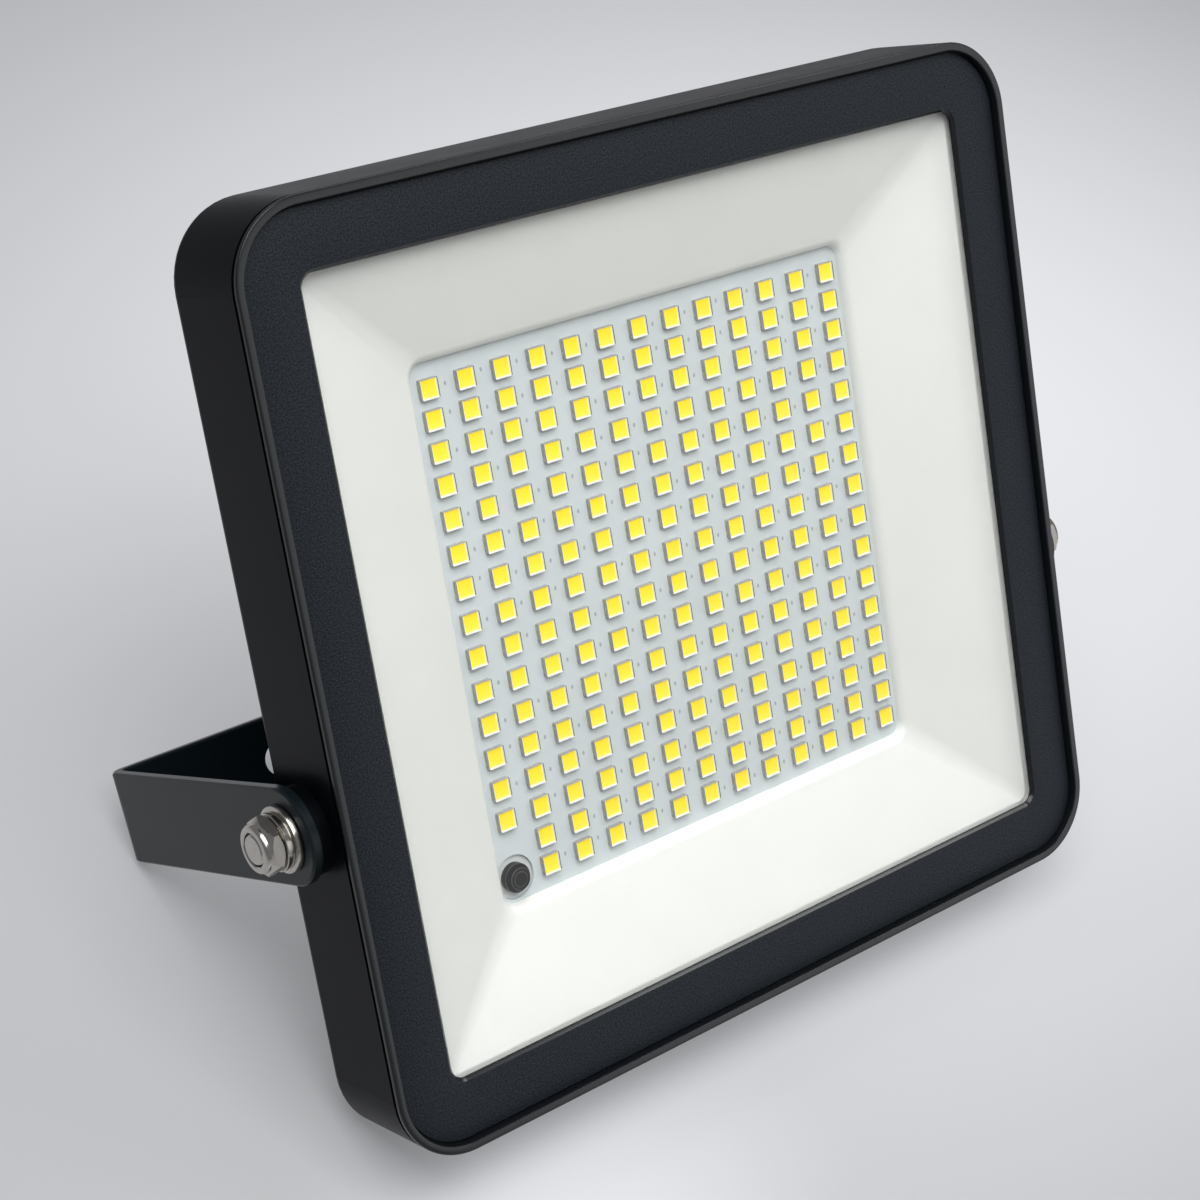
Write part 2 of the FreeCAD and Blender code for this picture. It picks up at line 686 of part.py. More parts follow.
def led_places():
    """Centres of the packages: the sensor takes the last two places of the first column."""
    columns = int(cell("led_columns").number)
    pitch = cell("led_pitch_across").number
    heights = row_heights()
    places = []
    for column in range(columns):
        across = pitch * (column - (columns - 1) / 2)
        rows = heights[:-2] if column == 0 else heights
        places += [(across, up) for up in rows]
    return places


def sensor_place():
    columns = cell("led_columns").number
    return -cell("led_pitch_across").number * (columns - 1) / 2, row_heights()[-1]


def make_led_board():
    body = make_plate("led_board", collar_outline(cell("board_margin")), board_back, board_front)
    sensor_x, sensor_y = sensor_place()
    circles(body, [(sensor_x, sensor_y)], cell("sensor_hole"), board_front,
            cell("board_thickness"), cut=True)
    return body


def make_led_blocks(label, side, low, height):
    """One flat block for each LED, all in one node."""
    side, low, height = as_size(side).number, as_size(low).number, as_size(height).number
    blocks = []
    for x, y in led_places():
        corner = Vector(x - side / 2, y - side / 2, low)
        blocks.append(Part.makeBox(side, side, height, corner))
    node = doc.addObject("Part::Feature", label)
    node.Shape = Part.makeCompound(blocks)
    return node


def primitive(kind, **fields):
    """A Part primitive whose named sizes come from the sheet."""
    thing = doc.addObject(f"Part::{kind}", kind)
    for field, value in fields.items():
        bind(thing, field, value)
    return thing


def cylinder(radius, height, x=0.0, y=0.0, z=0.0):
    thing = primitive("Cylinder", Radius=radius, Height=height)
    move(thing, x, y, z)
    return thing


def box(length, width, height, x=0.0, y=0.0, z=0.0):
    """A box centred on x and y, standing on z."""
    thing = primitive("Box", Length=length, Width=width, Height=height)
    move(thing, x - as_size(length) / 2, y - as_size(width) / 2, z)
    return thing


def move(thing, x, y, z):
    for axis, value in (("x", x), ("y", y), ("z", z)):
        bind(thing, f".Placement.Base.{axis}", value)


def hexagon(size, height, z=0.0):
    """Hexagonal prism by its width across the flats."""
    size = as_size(size)
    thing = primitive("Prism", Circumradius=size / math.sqrt(3), Height=height)
    thing.Polygon = 6
    bind(thing, ".Placement.Base.z", z)
    return thing


def fused(*parts):
    node = doc.addObject("Part::MultiFuse", "Fuse")
    node.Shapes = list(parts)
    return node


def cut(base, tool):
    node = doc.addObject("Part::Cut", "Cut")
    node.Base = base
    node.Tool = tool
    return node


def common(*parts):
    node = doc.addObject("Part::MultiCommon", "Common")
    node.Shapes = list(parts)
    return node


def named(node, label):
    node.Label = label
    return node


def cone(low, high, height, z=0.0):
    thing = primitive("Cone", Radius1=low, Radius2=high, Height=height)
    bind(thing, ".Placement.Base.z", z)
    return thing


def chamfered_hexagon(size, height, z=0.0):
    """Hexagon whose corners are turned off at 30 degrees at its outer end, as on a nut."""
    flat = as_size(size) * cell("nut_face")
    return common(hexagon(size, height, z), cone(flat + height * math.sqrt(3), flat, height, z))


def make_sensor():
    """Light sensor: pale disc in the board's hole, black stepped can and a small lens."""
    x, y = sensor_place()
    play = cell("fit_play")
    disc = new_body("sensor_holder")
    circles(disc, [(x, y)], cell("sensor_hole") - play * 2, board_back, cell("holder_thickness"))
    seat = board_back + cell("holder_thickness")
    ring_level = seat + cell("sensor_base")
    top = ring_level + cell("sensor_ring")
    lens_depth = cell("sensor_ring") / 2
    can = fused(
        cylinder(cell("sensor_radius"), cell("sensor_base"), x, y, seat),
        cylinder(cell("sensor_ring_radius"), cell("sensor_ring"), x, y, ring_level),
    )
    hole = cylinder(cell("sensor_lens_radius") + play, lens_depth * 2, x, y, top - lens_depth)
    stem = cylinder(cell("sensor_lens_radius"), lens_depth, x, y, top - lens_depth)
    dome = primitive("Sphere", Radius=cell("sensor_lens_radius"))
    move(dome, x, y, top)
    cap = box(cell("sensor_lens_radius") * 3, cell("sensor_lens_radius") * 3, cell("sensor_lens"),
              x, y, top)
    return [
        disc,
        named(cut(can, hole), "sensor_body"),
        named(fused(stem, common(dome, cap)), "sensor_lens"),
    ]


def pan_screw(kind, length, turned):
    """Slotted pan-head screw, its seat at zero and its head along Z unless turned."""
    word = "screw" if kind == "large" else "small"
    shank = cell("screw_radius" if kind == "large" else "small_screw").number
    head, tall = cell(f"{word}_head").number, cell(f"{word}_head_height").number
    edge = tall / 2
    slot = cell("screw_slot").number
    solid = Part.makeCylinder(shank, length, Vector(0, 0, -length))
    rim = Part.makeCylinder(head, tall - edge)
    crown = Part.makeCone(head, head - edge, edge, Vector(0, 0, tall - edge))
    groove = Part.makeBox(head * 2, slot, slot, Vector(-head, -slot / 2, tall - slot))
    screw = solid.fuse([rim, crown]).cut(groove).removeSplitter()
    if turned:
        screw.rotate(Vector(), Vector(1, 0, 0), 180)
    return screw


def make_screw_group(label, places, seat, kind, length, turned=False):
    """Identical screws share one node as separate solids."""
    screws = []
    for across, up in places:
        screw = pan_screw(kind, length.number, turned)
        screw.translate(Vector(across.number, up.number, seat.number))
        screws.append(screw)
    node = doc.addObject("Part::Feature", label)
    node.Shape = Part.makeCompound(screws)
    return node


def make_screws():
    spreader = corner_places(*spreader_outline()[:2], cell("spreader_inset"))
    control = corner_places(cell("control_width"), cell("control_height"), cell("control_inset"),
                            across=cell("control_shift"))
    short = spreader_back - housing_floor + cell("spreader_thickness") - cell("screw_clear")
    post = cell("control_post") + cell("board_thickness") - cell("screw_clear")
    return [
        make_screw_group("frame_screws", screw_places(), head_seat, "large", cell("screw_length"), True),
        make_screw_group("spreader_screws", spreader, board_back, "small", short),
        make_screw_group("controller_screws", control, control_top, "small", post),
    ]


def make_spreader():
    outline = spreader_outline()
    body = make_plate("heat_spreader", outline, spreader_back, board_back)
    places = corner_places(outline[0], outline[1], cell("spreader_inset"))
    circles(body, places, cell("small_screw") + cell("fit_play") * 2, board_back,
            cell("spreader_thickness"), cut=True)
    return body


def cell_places():
    """Inner end of each cell: two columns of cells lying across the lamp, back to back."""
    rows = int(cell("cell_rows").number)
    half_gap = cell("pack_wall").number / 2
    places = []
    for side in (-1, 1):
        for row in range(rows):
            up = cell("cell_pitch").number * (row - (rows - 1) / 2)
            places.append((cell("pack_shift").number + side * half_gap, up, side))
    return places


def lying_cell(x, y, side, grow):
    """One round cell with its positive end outwards, let out by a distance for its cradle."""
    radius, length = cell("cell_radius").number, cell("cell_length").number
    level = battery_axis.number
    direction = Vector(side, 0, 0)
    can = Part.makeCylinder(radius + grow, length, Vector(x, y, level), direction)
    tip = Vector(x + side * length, y, level)
    nub = Part.makeCylinder(cell("cell_nub_radius").number + grow, cell("cell_nub").number + grow,
                            tip, direction)
    return can.fuse(nub).removeSplitter()


def make_battery():
    """Round cells, and the moulded tray whose cradles and end walls hold them."""
    cells = doc.addObject("Part::Feature", "battery_cells")
    cells.Shape = Part.makeCompound([lying_cell(*place, 0) for place in cell_places()])
    wall = cell("pack_wall").number
    play = cell("fit_play").number
    half = cell("cell_length").number + cell("cell_nub").number + wall / 2 + play * 2
    across = cell("pack_shift").number
    rows = cell("cell_rows").number - 1
    width = cell("cell_pitch").number * rows + 2 * cell("cell_radius").number + wall
    base = bay_floor.number
    cradle = battery_axis.number - base - cell("cell_radius").number / 2
    floor = Part.makeBox(2 * (half + wall), width, cradle, Vector(across - half - wall, -width / 2, base))
    tall = battery_axis.number - base + cell("cell_radius").number / 2
    walls = []
    for start, end in ((-half - wall, -half), (play - wall / 2, wall / 2 - play), (half, half + wall)):
        walls.append(Part.makeBox(end - start, width, tall, Vector(across + start, -width / 2, base)))
    hollows = [lying_cell(*place, play) for place in cell_places()]
    tray = doc.addObject("Part::Feature", "battery_tray")
    tray.Shape = floor.fuse(walls).cut(hollows).removeSplitter()
    return [cells, tray]


def make_controller():
    """Charge controller: board, chip, coil, capacitor and socket on posts in the battery bay."""
    x = cell("control_shift")
    width, height = cell("control_width"), cell("control_height")
    body = new_body("controller_board")
    block(body, (width, height, cell("control_corner")), control_top - cell("board_thickness"), control_top,
          across=x)
    spots = corner_places(width, height, cell("control_inset"), across=x)
    circles(body, spots, cell("small_screw") + cell("fit_play") * 2, control_top,
            cell("board_thickness"), cut=True)
    over = cell("cut_over")
    well = control_top + cell("coil_height") - cell("coil_well_depth")
    coil = cut(cylinder(cell("coil_radius"), cell("coil_height"), x, cell("coil_up"), control_top),
               cylinder(cell("coil_well"), cell("coil_well_depth") + over, x, cell("coil_up"), well))
    chip_outline = (cell("chip_side"), cell("chip_side"), cell("chip_radius"))
    chip = make_plate("controller_chip", chip_outline, control_top, control_top + cell("chip_height"),
                      x + cell("chip_shift"), cell("chip_up"))
    can = new_body("controller_capacitor")
    spot = (x + cell("capacitor_shift"), cell("capacitor_up"))
    circles(can, [spot], cell("capacitor_radius"), control_top, cell("capacitor_height"))
    can_top = (control_top + cell("capacitor_height")).number
    rim = edges_where(can.Tip.Shape, lambda edge: edge.ZLength < same_place
                      and abs(edge.ZMin - can_top) < same_place)
    dress(can, "Chamfer", "Size", cell("capacitor_edge"), rim)
    wall = cell("socket_wall")
    wide, deep, tall = cell("socket_width"), cell("socket_depth"), cell("socket_height")
    socket = cut(box(wide, deep, tall, x, cell("socket_up"), control_top),
                 box(wide - wall * 2, deep - wall * 2, tall, x, cell("socket_up"), control_top + wall))
    return [
        body,
        named(coil, "controller_coil"),
        chip,
        can,
        named(socket, "controller_socket"),
    ]


def make_gland():
    """Cable gland for the bay's lower wall, drawn along Z with the wall's outer face at zero."""
    thread, size, bore = cell("gland_thread"), cell("gland_size"), cell("gland_bore")
    flange, neck, cap = cell("gland_flange"), cell("gland_neck"), cell("gland_cap")
    dome, nut, wall = cell("gland_dome"), cell("gland_locknut"), cell("housing_wall")
    play, over = cell("fit_play"), cell("cut_over")
    tail = wall + nut + over
    body = cut(
        fused(cylinder(thread, tail, z=-tail), hexagon(size, flange),
              cylinder(cell("gland_neck_radius"), neck, z=flange)),
        cylinder(bore, tail + flange + neck + over * 2, z=-tail - over),
    )
    shell = fused(hexagon(size, cap - dome, flange + play),
                  cone(size / 2, size / 2 - cell("gland_taper"), dome, flange + play + cap - dome))
    cap_nut = cut(cut(shell, cylinder(cell("gland_neck_radius") + play, neck + play, z=flange)),
                  cylinder(cell("gland_mouth"), cap + over * 2, z=flange))
    seal_foot = flange - cell("seal_recess")
    seal = cut(cylinder(bore - play, neck, z=seal_foot),
               cylinder(cell("gland_seal_bore"), neck + over * 2, z=seal_foot - over))
    locknut = cut(hexagon(size, nut, -wall - play - nut),
                  cylinder(thread + play, nut + over * 2, z=-wall - nut - over))
    return [
        named(body, "gland_body"),
        named(cap_nut, "gland_cap"),
        named(seal, "gland_seal"),
        named(locknut, "gland_locknut"),
    ]


def make_pivot_stack(side):
    """Bolt, washers and lock nut of one side, drawn along Z from the lamp's middle outwards."""
    word = "left" if side < 0 else "right"
    play, over = cell("fit_play"), cell("cut_over")
    bolt, point = cell("bolt_radius"), cell("thread_point")
    stud = fused(
        cylinder(bolt, cell("bolt_length") - point, z=bolt_seat),
        cone(bolt, bolt - point, point, bolt_end - point),
        hexagon(cell("wrench_size"), cell("bolt_head"), bolt_seat - cell("bolt_head")),
    )
    thick = cell("washer_thickness")
    washer = cut(cylinder(cell("washer_radius"), thick, z=washer_seat),
                 cylinder(bolt + cell("screw_play"), thick + over * 2, z=washer_seat - over))
    thick = cell("spring_thickness")
    spring = cut(cylinder(cell("spring_radius"), thick, z=spring_seat),
                 fused(cylinder(bolt + play * 2, thick + over * 2, z=spring_seat - over),
                       split_block(spring_seat - over)))
    bevel, collar = cell("nut_collar_bevel"), cell("nut_collar_radius")
    collar_z = nut_seat + cell("nut_height")
    outside = fused(
        chamfered_hexagon(cell("wrench_size"), cell("nut_height"), nut_seat),
        cylinder(collar, cell("nut_collar") - bevel, z=collar_z),
        cone(collar, collar - bevel, bevel, bolt_end - bevel),
    )
    ring_height = cell("nut_ring_height")
    ring_z = collar_z + (cell("nut_collar") - ring_height) / 2
    nut = cut(outside, fused(
        cylinder(bolt + play, cell("nut_height") + cell("nut_collar") + over * 2, z=nut_seat - over),
        cylinder(cell("nut_ring_radius") + play, ring_height + play * 2, z=ring_z - play),
    ))
    ring = cut(cylinder(cell("nut_ring_radius"), ring_height, z=ring_z),
               cylinder(bolt + play, ring_height + over * 2, z=ring_z - over))
    return [
        named(stud, f"pivot_bolt_{word}"),
        named(washer, f"flat_washer_{word}"),
        named(spring, f"spring_washer_{word}"),
        named(nut, f"lock_nut_{word}"),
        named(ring, f"nut_ring_{word}"),
    ]


def split_block(z):
    """The slanted split of a spring washer, as a thin turned box on one side of its axis."""
    reach = cell("spring_radius") + cell("cut_over")
    slab = primitive("Box", Length=reach, Width=cell("spring_split"),
                     Height=cell("spring_thickness") + cell("cut_over") * 3)
    slab.Placement.Rotation = Rotation(Vector(1, 0, 0), cell("spring_slant").number)
    bind(slab, ".Placement.Base.z", z)
    return slab


def add_rectangle(sketch, width, height, left, foot):
    """A plain rectangle by its size and its lower left corner."""
    width, height, left, foot = [as_size(item) for item in (width, height, left, foot)]
    x, y = left.number, foot.number
    right, top = x + width.number, y + height.number
    spots = [Vector(x, y, 0), Vector(right, y, 0), Vector(right, top, 0), Vector(x, top, 0)]
    for side in range(4):
        sketch.addGeometry(Part.LineSegment(spots[side], spots[(side + 1) % 4]))
    for side in range(4):
        sketch.addConstraint(Sketcher.Constraint("Coincident", side, 2, (side + 1) % 4, 1))
        sketch.addConstraint(Sketcher.Constraint("Vertical" if side % 2 else "Horizontal", side))
    constrain(sketch, "width", width, "DistanceX", 0, 1, 0, 2)
    constrain(sketch, "height", height, "DistanceY", 1, 1, 1, 2)
    along(sketch, "left", "DistanceX", left, 0, 1)
    along(sketch, "foot", "DistanceY", foot, 0, 1)


def make_bracket():
    """Steel strip bent to a U with round arm ends, drawn about the pivot with its arms along -Z."""
    body = new_body("mounting_bracket")
    thick, bend = cell("strap_thickness"), cell("strap_bend")
    width, length, over = cell("strap_width"), cell("arm_length"), cell("cut_over")
    outer = sketch_on(body, "XZ_Plane", 0)
    add_rectangle(outer, arm_outer * 2, length, -arm_outer, -length)
    pad(body, outer, width, midplane=True)
    inner = sketch_on(body, "XZ_Plane", 0)
    add_rectangle(inner, arm_inner * 2, length, -arm_inner, thick - length)
    pocket(body, inner, width + over * 2, midplane=True)
    for reach, level, radius in ((arm_outer, -length, thick + bend), (arm_inner, thick - length, bend)):
        names = edges_where(body.Tip.Shape, lambda edge: edge.YLength > thick.number
                            and abs(edge.ZMin - level.number) < same_place
                            and abs(edge.ZMax - level.number) < same_place
                            and abs(abs(edge.XMin) - reach.number) < same_place)
        dress(body, "Fillet", "Radius", radius, names)
    for side in (-1, 1):
        sketch = sketch_on(body, "YZ_Plane", arm_inner * side)
        add_circle(sketch, width / 2)
        pad(body, sketch, thick, turned=side < 0)
    half = width.number / 2
    names = edges_where(body.Tip.Shape, lambda edge: edge.YLength < same_place
                        and abs(abs(edge.YMin) - half) < same_place)
    dress(body, "Chamfer", "Size", cell("strap_edge"), names)
    sketch = sketch_on(body, "YZ_Plane", 0)
    add_circle(sketch, cell("bolt_radius") + cell("bolt_play"))
    pocket(body, sketch, (arm_outer + over) * 2, midplane=True)
    circles(body, [(as_size(0), as_size(0))], cell("centre_hole"), -length, thick, cut=True, turned=True)
    sides = [(cell("side_hole_spread") * side, as_size(0)) for side in (-1, 1)]
    circles(body, sides, cell("side_hole"), -length, thick, cut=True, turned=True)
    return body


def lean_angle():
    """Turn of the lamp about X at which its rear edge and the bracket's corner share a floor."""
    turn = math.radians(cell("bracket_angle").number)
    down = cell("strap_width").number / 2 - cell("strap_edge").number
    out = cell("arm_length").number
    up = cell("pivot_up").number - down * math.cos(turn) - out * math.sin(turn)
    back = -cell("pivot_back").number + down * math.sin(turn) - out * math.cos(turn)
    edge = cell("housing_edge").number
    rear_up = -lamp_height.number / 2 + edge
    rear_back = housing_back.number + edge
    gap = math.hypot(up - rear_up, back - rear_back)
    slope = math.atan2(back - rear_back, up - rear_up)
    downwards = slope - math.acos(edge / gap)
    return math.degrees(math.atan2(-math.cos(downwards), -math.sin(downwards)))


gland_level = housing_back - cell("gland_size") / 2 - cell("gland_clearance")
battery_axis = spreader_back - cell("fit_play") * 4 - cell("cell_radius")
control_top = bay_floor + cell("control_post") + cell("board_thickness")

frame = make_front_frame()
housing = make_rear_housing()
glass = make_plate("front_glass", window_outline(cell("glass_overlap")), glass_back, glass_front)
gasket_inner = cell("glass_overlap") + cell("fit_play")
gasket = make_ring("glass_gasket", window_outline(gasket_inner + cell("gasket_width")),
                   window_outline(gasket_inner), glass_back, glass_front - cell("fit_play"))
seal = make_ring("body_seal", lamp_outline(cell("housing_lip") + cell("fit_play")),
                 lamp_outline(cell("housing_wall")), ledge, plate_back)
lamp_nodes = [frame, housing, glass, gasket, seal, make_reflector(), make_led_board()]
lamp_nodes.append(make_led_blocks("led_packages", cell("led_side"), board_front, cell("led_height")))
lamp_nodes.append(make_led_blocks("led_phosphors", cell("phosphor_side"),
                                  board_front + cell("led_height"), cell("phosphor_height")))
lamp_nodes += make_sensor()
lamp_nodes.append(make_spreader())
lamp_nodes += make_battery()
lamp_nodes += make_controller()
lamp_nodes += make_screws()
gland_nodes = make_gland()
stacks = {side: make_pivot_stack(side) for side in (-1, 1)}
bracket = make_bracket()
doc.recompute()

# The whole lamp leans back about X, and the bracket, gland and bolts are set on it first.
lean = Placement(Vector(), Rotation(Vector(1, 0, 0), lean_angle()))
pivot = Vector(0, cell("pivot_up").number, pivot_z.number)
bracket.Placement = lean * Placement(pivot, Rotation(Vector(1, 0, 0), -cell("bracket_angle").number))
for node in lamp_nodes:
    node.Placement = lean * node.Placement
wall_spot = Vector(cell("gland_shift").number, -cell("bay_height").number / 2, gland_level.number)
for node in gland_nodes:
    node.Placement = lean * Placement(wall_spot, Rotation(Vector(1, 0, 0), 90))
for side, nodes in stacks.items():
    for node in nodes:
        node.Placement = lean * Placement(pivot, Rotation(Vector(0, 1, 0), 90 * side))
nodes = lamp_nodes + gland_nodes + stacks[-1] + stacks[1] + [bracket]
doc.recompute()

# The origin is the middle of the bottom of the box that holds everything.
boxes = [node.Shape.optimalBoundingBox() for node in nodes]
middle = (min(box.YMin for box in boxes) + max(box.YMax for box in boxes)) / 2
lowest = min(box.ZMin for box in boxes)
to_origin = Placement(Vector(0, -middle, -lowest), Rotation())
for node in nodes:
    node.Placement = to_origin * node.Placement
doc.recompute()

for thing in doc.Objects:
    if {"Invalid", "Error"} & set(thing.State):
        raise RuntimeError(f"{thing.Label} failed: {thing.State}")
os.makedirs("parts", exist_ok=True)
for node in nodes:
    shape = node.Shape
    if shape.isNull() or not shape.isValid():
        raise RuntimeError(f"{node.Label} has no valid shape")
    shape.exportStep(f"parts/{node.Label}.step")
    print(f"{node.Label}: {len(shape.Solids)} solids, {shape.Volume / 1000:.2f} cm3")
print(f"lean {90 - lean_angle():.2f} degrees, lifted {-lowest:.3f}, moved {-middle:.3f}")
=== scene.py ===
import math

import bmesh
import bpy
from mathutils import Matrix, Vector


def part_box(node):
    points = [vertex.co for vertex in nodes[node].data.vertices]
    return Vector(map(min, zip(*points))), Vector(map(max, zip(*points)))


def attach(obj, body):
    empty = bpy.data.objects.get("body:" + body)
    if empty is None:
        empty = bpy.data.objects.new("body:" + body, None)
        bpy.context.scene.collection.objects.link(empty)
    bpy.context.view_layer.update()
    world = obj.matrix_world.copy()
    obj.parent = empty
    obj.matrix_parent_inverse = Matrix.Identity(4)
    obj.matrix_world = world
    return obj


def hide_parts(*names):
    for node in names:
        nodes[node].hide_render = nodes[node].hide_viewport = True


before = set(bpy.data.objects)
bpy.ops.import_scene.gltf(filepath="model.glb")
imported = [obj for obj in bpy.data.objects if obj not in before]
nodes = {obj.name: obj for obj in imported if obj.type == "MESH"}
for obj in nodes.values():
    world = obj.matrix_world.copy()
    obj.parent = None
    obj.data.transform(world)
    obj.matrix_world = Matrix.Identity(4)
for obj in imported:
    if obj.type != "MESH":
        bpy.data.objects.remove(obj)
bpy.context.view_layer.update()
scene = bpy.context.scene
mm = 0.001


# the lamp's own axes, read from the pane: across, up the lamp, and out of its front
def lampAxes():
    windowLip = 1.2 * mm                      # frame in front of the pane
    pane = nodes["front_glass"].data
    front = max(pane.polygons, key=lambda face: face.area * (face.normal.z > 0))
    out = front.normal.normalized()
    across = Vector((1, 0, 0))
    up = out.cross(across)
    reach = [vertex.co.dot(out) for vertex in pane.vertices]
    low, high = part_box("front_glass")
    middle = (low + high) / 2
    middle += out * ((max(reach) - min(reach)) / 2 + windowLip)
    turn = Matrix((across, up, out)).transposed().to_4x4()
    return Matrix.Translation(middle) @ turn


lamp = lampAxes()
lampInverse = lamp.inverted()
lampTilt = lamp.to_euler()


def lampReach(node):
    corners = [lampInverse @ vertex.co for vertex in nodes[node].data.vertices]
    low = Vector([min(corner[axis] for corner in corners) for axis in range(3)])
    high = Vector([max(corner[axis] for corner in corners) for axis in range(3)])
    return low, high


# materials
def newMaterial(name, colour, roughness, **sockets):
    material = bpy.data.materials.new(name)
    material.use_nodes = True
    shader = material.node_tree.nodes["Principled BSDF"]
    shader.inputs["Base Color"].default_value = (*colour, 1)
    shader.inputs["Roughness"].default_value = roughness
    for label, value in sockets.items():
        shader.inputs[label.replace("_", " ")].default_value = value
    return material


def addNode(material, kind, **fields):
    node = material.node_tree.nodes.new(kind)
    for field, value in fields.items():
        setattr(node, field, value)
    return node


def link(material, source, target):
    material.node_tree.links.new(source, target)


def lampCoordinates(material, stretch=(1, 1, 1)):
    place = addNode(material, "ShaderNodeTexCoord")
    mapping = addNode(material, "ShaderNodeMapping", vector_type="TEXTURE")
    mapping.inputs["Location"].default_value = lamp.translation
    mapping.inputs["Rotation"].default_value = lampTilt
    mapping.inputs["Scale"].default_value = stretch
    link(material, place.outputs["Object"], mapping.inputs["Vector"])
    return mapping.outputs["Vector"]


def noise(material, vector, scale, detail=2.0, roughness=0.5):
    texture = addNode(material, "ShaderNodeTexNoise")
    texture.inputs["Scale"].default_value = scale
    texture.inputs["Detail"].default_value = detail
    texture.inputs["Roughness"].default_value = roughness
    link(material, vector, texture.inputs["Vector"])
    return texture.outputs["Fac"]


def ramp(material, factor, stops):
    node = addNode(material, "ShaderNodeValToRGB")
    elements = node.color_ramp.elements
    while len(elements) < len(stops):
        elements.new(0.5)
    for element, (position, colour) in zip(elements, stops):
        element.position = position
        element.color = (*colour, 1)
    link(material, factor, node.inputs["Fac"])
    return node.outputs["Color"]


def range01(material, factor, low, high):
    node = addNode(material, "ShaderNodeMapRange")
    node.inputs["To Min"].default_value = low
    node.inputs["To Max"].default_value = high
    link(material, factor, node.inputs["Value"])
    return node.outputs["Result"]


def bump(material, height, strength, distance, edge=0.0):
    node = addNode(material, "ShaderNodeBump")
    node.inputs["Strength"].default_value = strength
    node.inputs["Distance"].default_value = distance
    link(material, height, node.inputs["Height"])
    link(material, node.outputs["Normal"], socket(material, "Normal"))
    if edge:
        rounded = addNode(material, "ShaderNodeBevel", samples=2)
        rounded.inputs["Radius"].default_value = edge
        link(material, rounded.outputs["Normal"], node.inputs["Normal"])


def socket(material, label):
    return material.node_tree.nodes["Principled BSDF"].inputs[label]


# sizes of the noise on the surfaces: slow changes of gloss and colour, fine skin, drawn steel
grain = {
    "wearScale": 60, "cloudScale": 45, "skinScale": 1800, "skinDepth": 0.03 * mm,
    "drawnScale": 900, "drawnBump": 0.03, "drawnDepth": 0.02 * mm,
}


def coatMaterial(name, settings):
    material = newMaterial(name, settings["colour"], settings["roughness"],
                           Specular_IOR_Level=settings["specular"])
    vector = lampCoordinates(material)
    skin = noise(material, vector, settings["grainScale"], 3.0, 0.6)
    dark = [channel * settings["dark"] for channel in settings["colour"]]
    light = [channel * settings["light"] for channel in settings["colour"]]
    link(material, ramp(material, skin, [(0.38, dark), (0.66, light)]), socket(material, "Base Color"))
    spread = settings["roughnessSpread"]
    rough = range01(material, noise(material, vector, grain["wearScale"], 3.0),
                    settings["roughness"] - spread, settings["roughness"] + spread)
    link(material, rough, socket(material, "Roughness"))
    bump(material, skin, settings["bump"], settings["bumpDepth"], settings["edge"])
    return material


coats = {
    "texturedCoat": {
        "colour": (0.0094, 0.0124, 0.0167), "roughness": 0.5, "roughnessSpread": 0.05, "specular": 0.22,
        "grainScale": 2300, "dark": 0.35, "light": 2.8, "bump": 0.7, "bumpDepth": 0.00012, "edge": 0.0,
    },
    "rimCoat": {
        "colour": (0.0080, 0.0098, 0.0120), "roughness": 0.2, "roughnessSpread": 0.03, "specular": 0.5,
        "grainScale": 3600, "dark": 0.8, "light": 1.3, "bump": 0.1, "bumpDepth": 0.00003, "edge": 0.0002,
    },
    "satinCoat": {
        "colour": (0.0022, 0.0030, 0.0042), "roughness": 0.33, "roughnessSpread": 0.04, "specular": 0.08,
        "grainScale": 3600, "dark": 0.7, "light": 1.4, "bump": 0.2, "bumpDepth": 0.00004, "edge": 0.0,
    },
    "bracketCoat": {
        "colour": (0.0060, 0.0112, 0.0142), "roughness": 0.30, "roughnessSpread": 0.04, "specular": 0.24,
        "grainScale": 3600, "dark": 0.8, "light": 1.3, "bump": 0.15, "bumpDepth": 0.00004, "edge": 0.0004,
    },
}
finishes = {name: coatMaterial(name, settings) for name, settings in coats.items()}


def mouldedMaterial(name, colour, roughness, spread=0.04, tint=0.03, bumpAmount=0.05, **sockets):
    material = newMaterial(name, colour, roughness, **sockets)
    vector = lampCoordinates(material)
    soft = noise(material, vector, grain["cloudScale"], 3.0)
    low = [channel * (1 - tint) for channel in colour]
    high = [min(1.0, channel * (1 + tint)) for channel in colour]
    link(material, ramp(material, soft, [(0.3, low), (0.7, high)]), socket(material, "Base Color"))
    link(material, range01(material, soft, roughness - spread, roughness + spread),
         socket(material, "Roughness"))
    if bumpAmount:
        bump(material, noise(material, vector, grain["skinScale"], 2.0), bumpAmount, grain["skinDepth"])
    return material


def steelMaterial(name, colour, roughness, stretch, edge=0.00015):
    material = newMaterial(name, colour, roughness, Metallic=1.0)
    vector = lampCoordinates(material, stretch)
    brushed = noise(material, vector, grain["drawnScale"], 4.0, 0.65)
    low = [channel * 0.9 for channel in colour]
    high = [min(1.0, channel * 1.05) for channel in colour]
    link(material, ramp(material, brushed, [(0.3, low), (0.7, high)]), socket(material, "Base Color"))
    link(material, range01(material, brushed, roughness - 0.04, roughness + 0.05),
         socket(material, "Roughness"))
    bump(material, brushed, grain["drawnBump"], grain["drawnDepth"], edge)
    return material


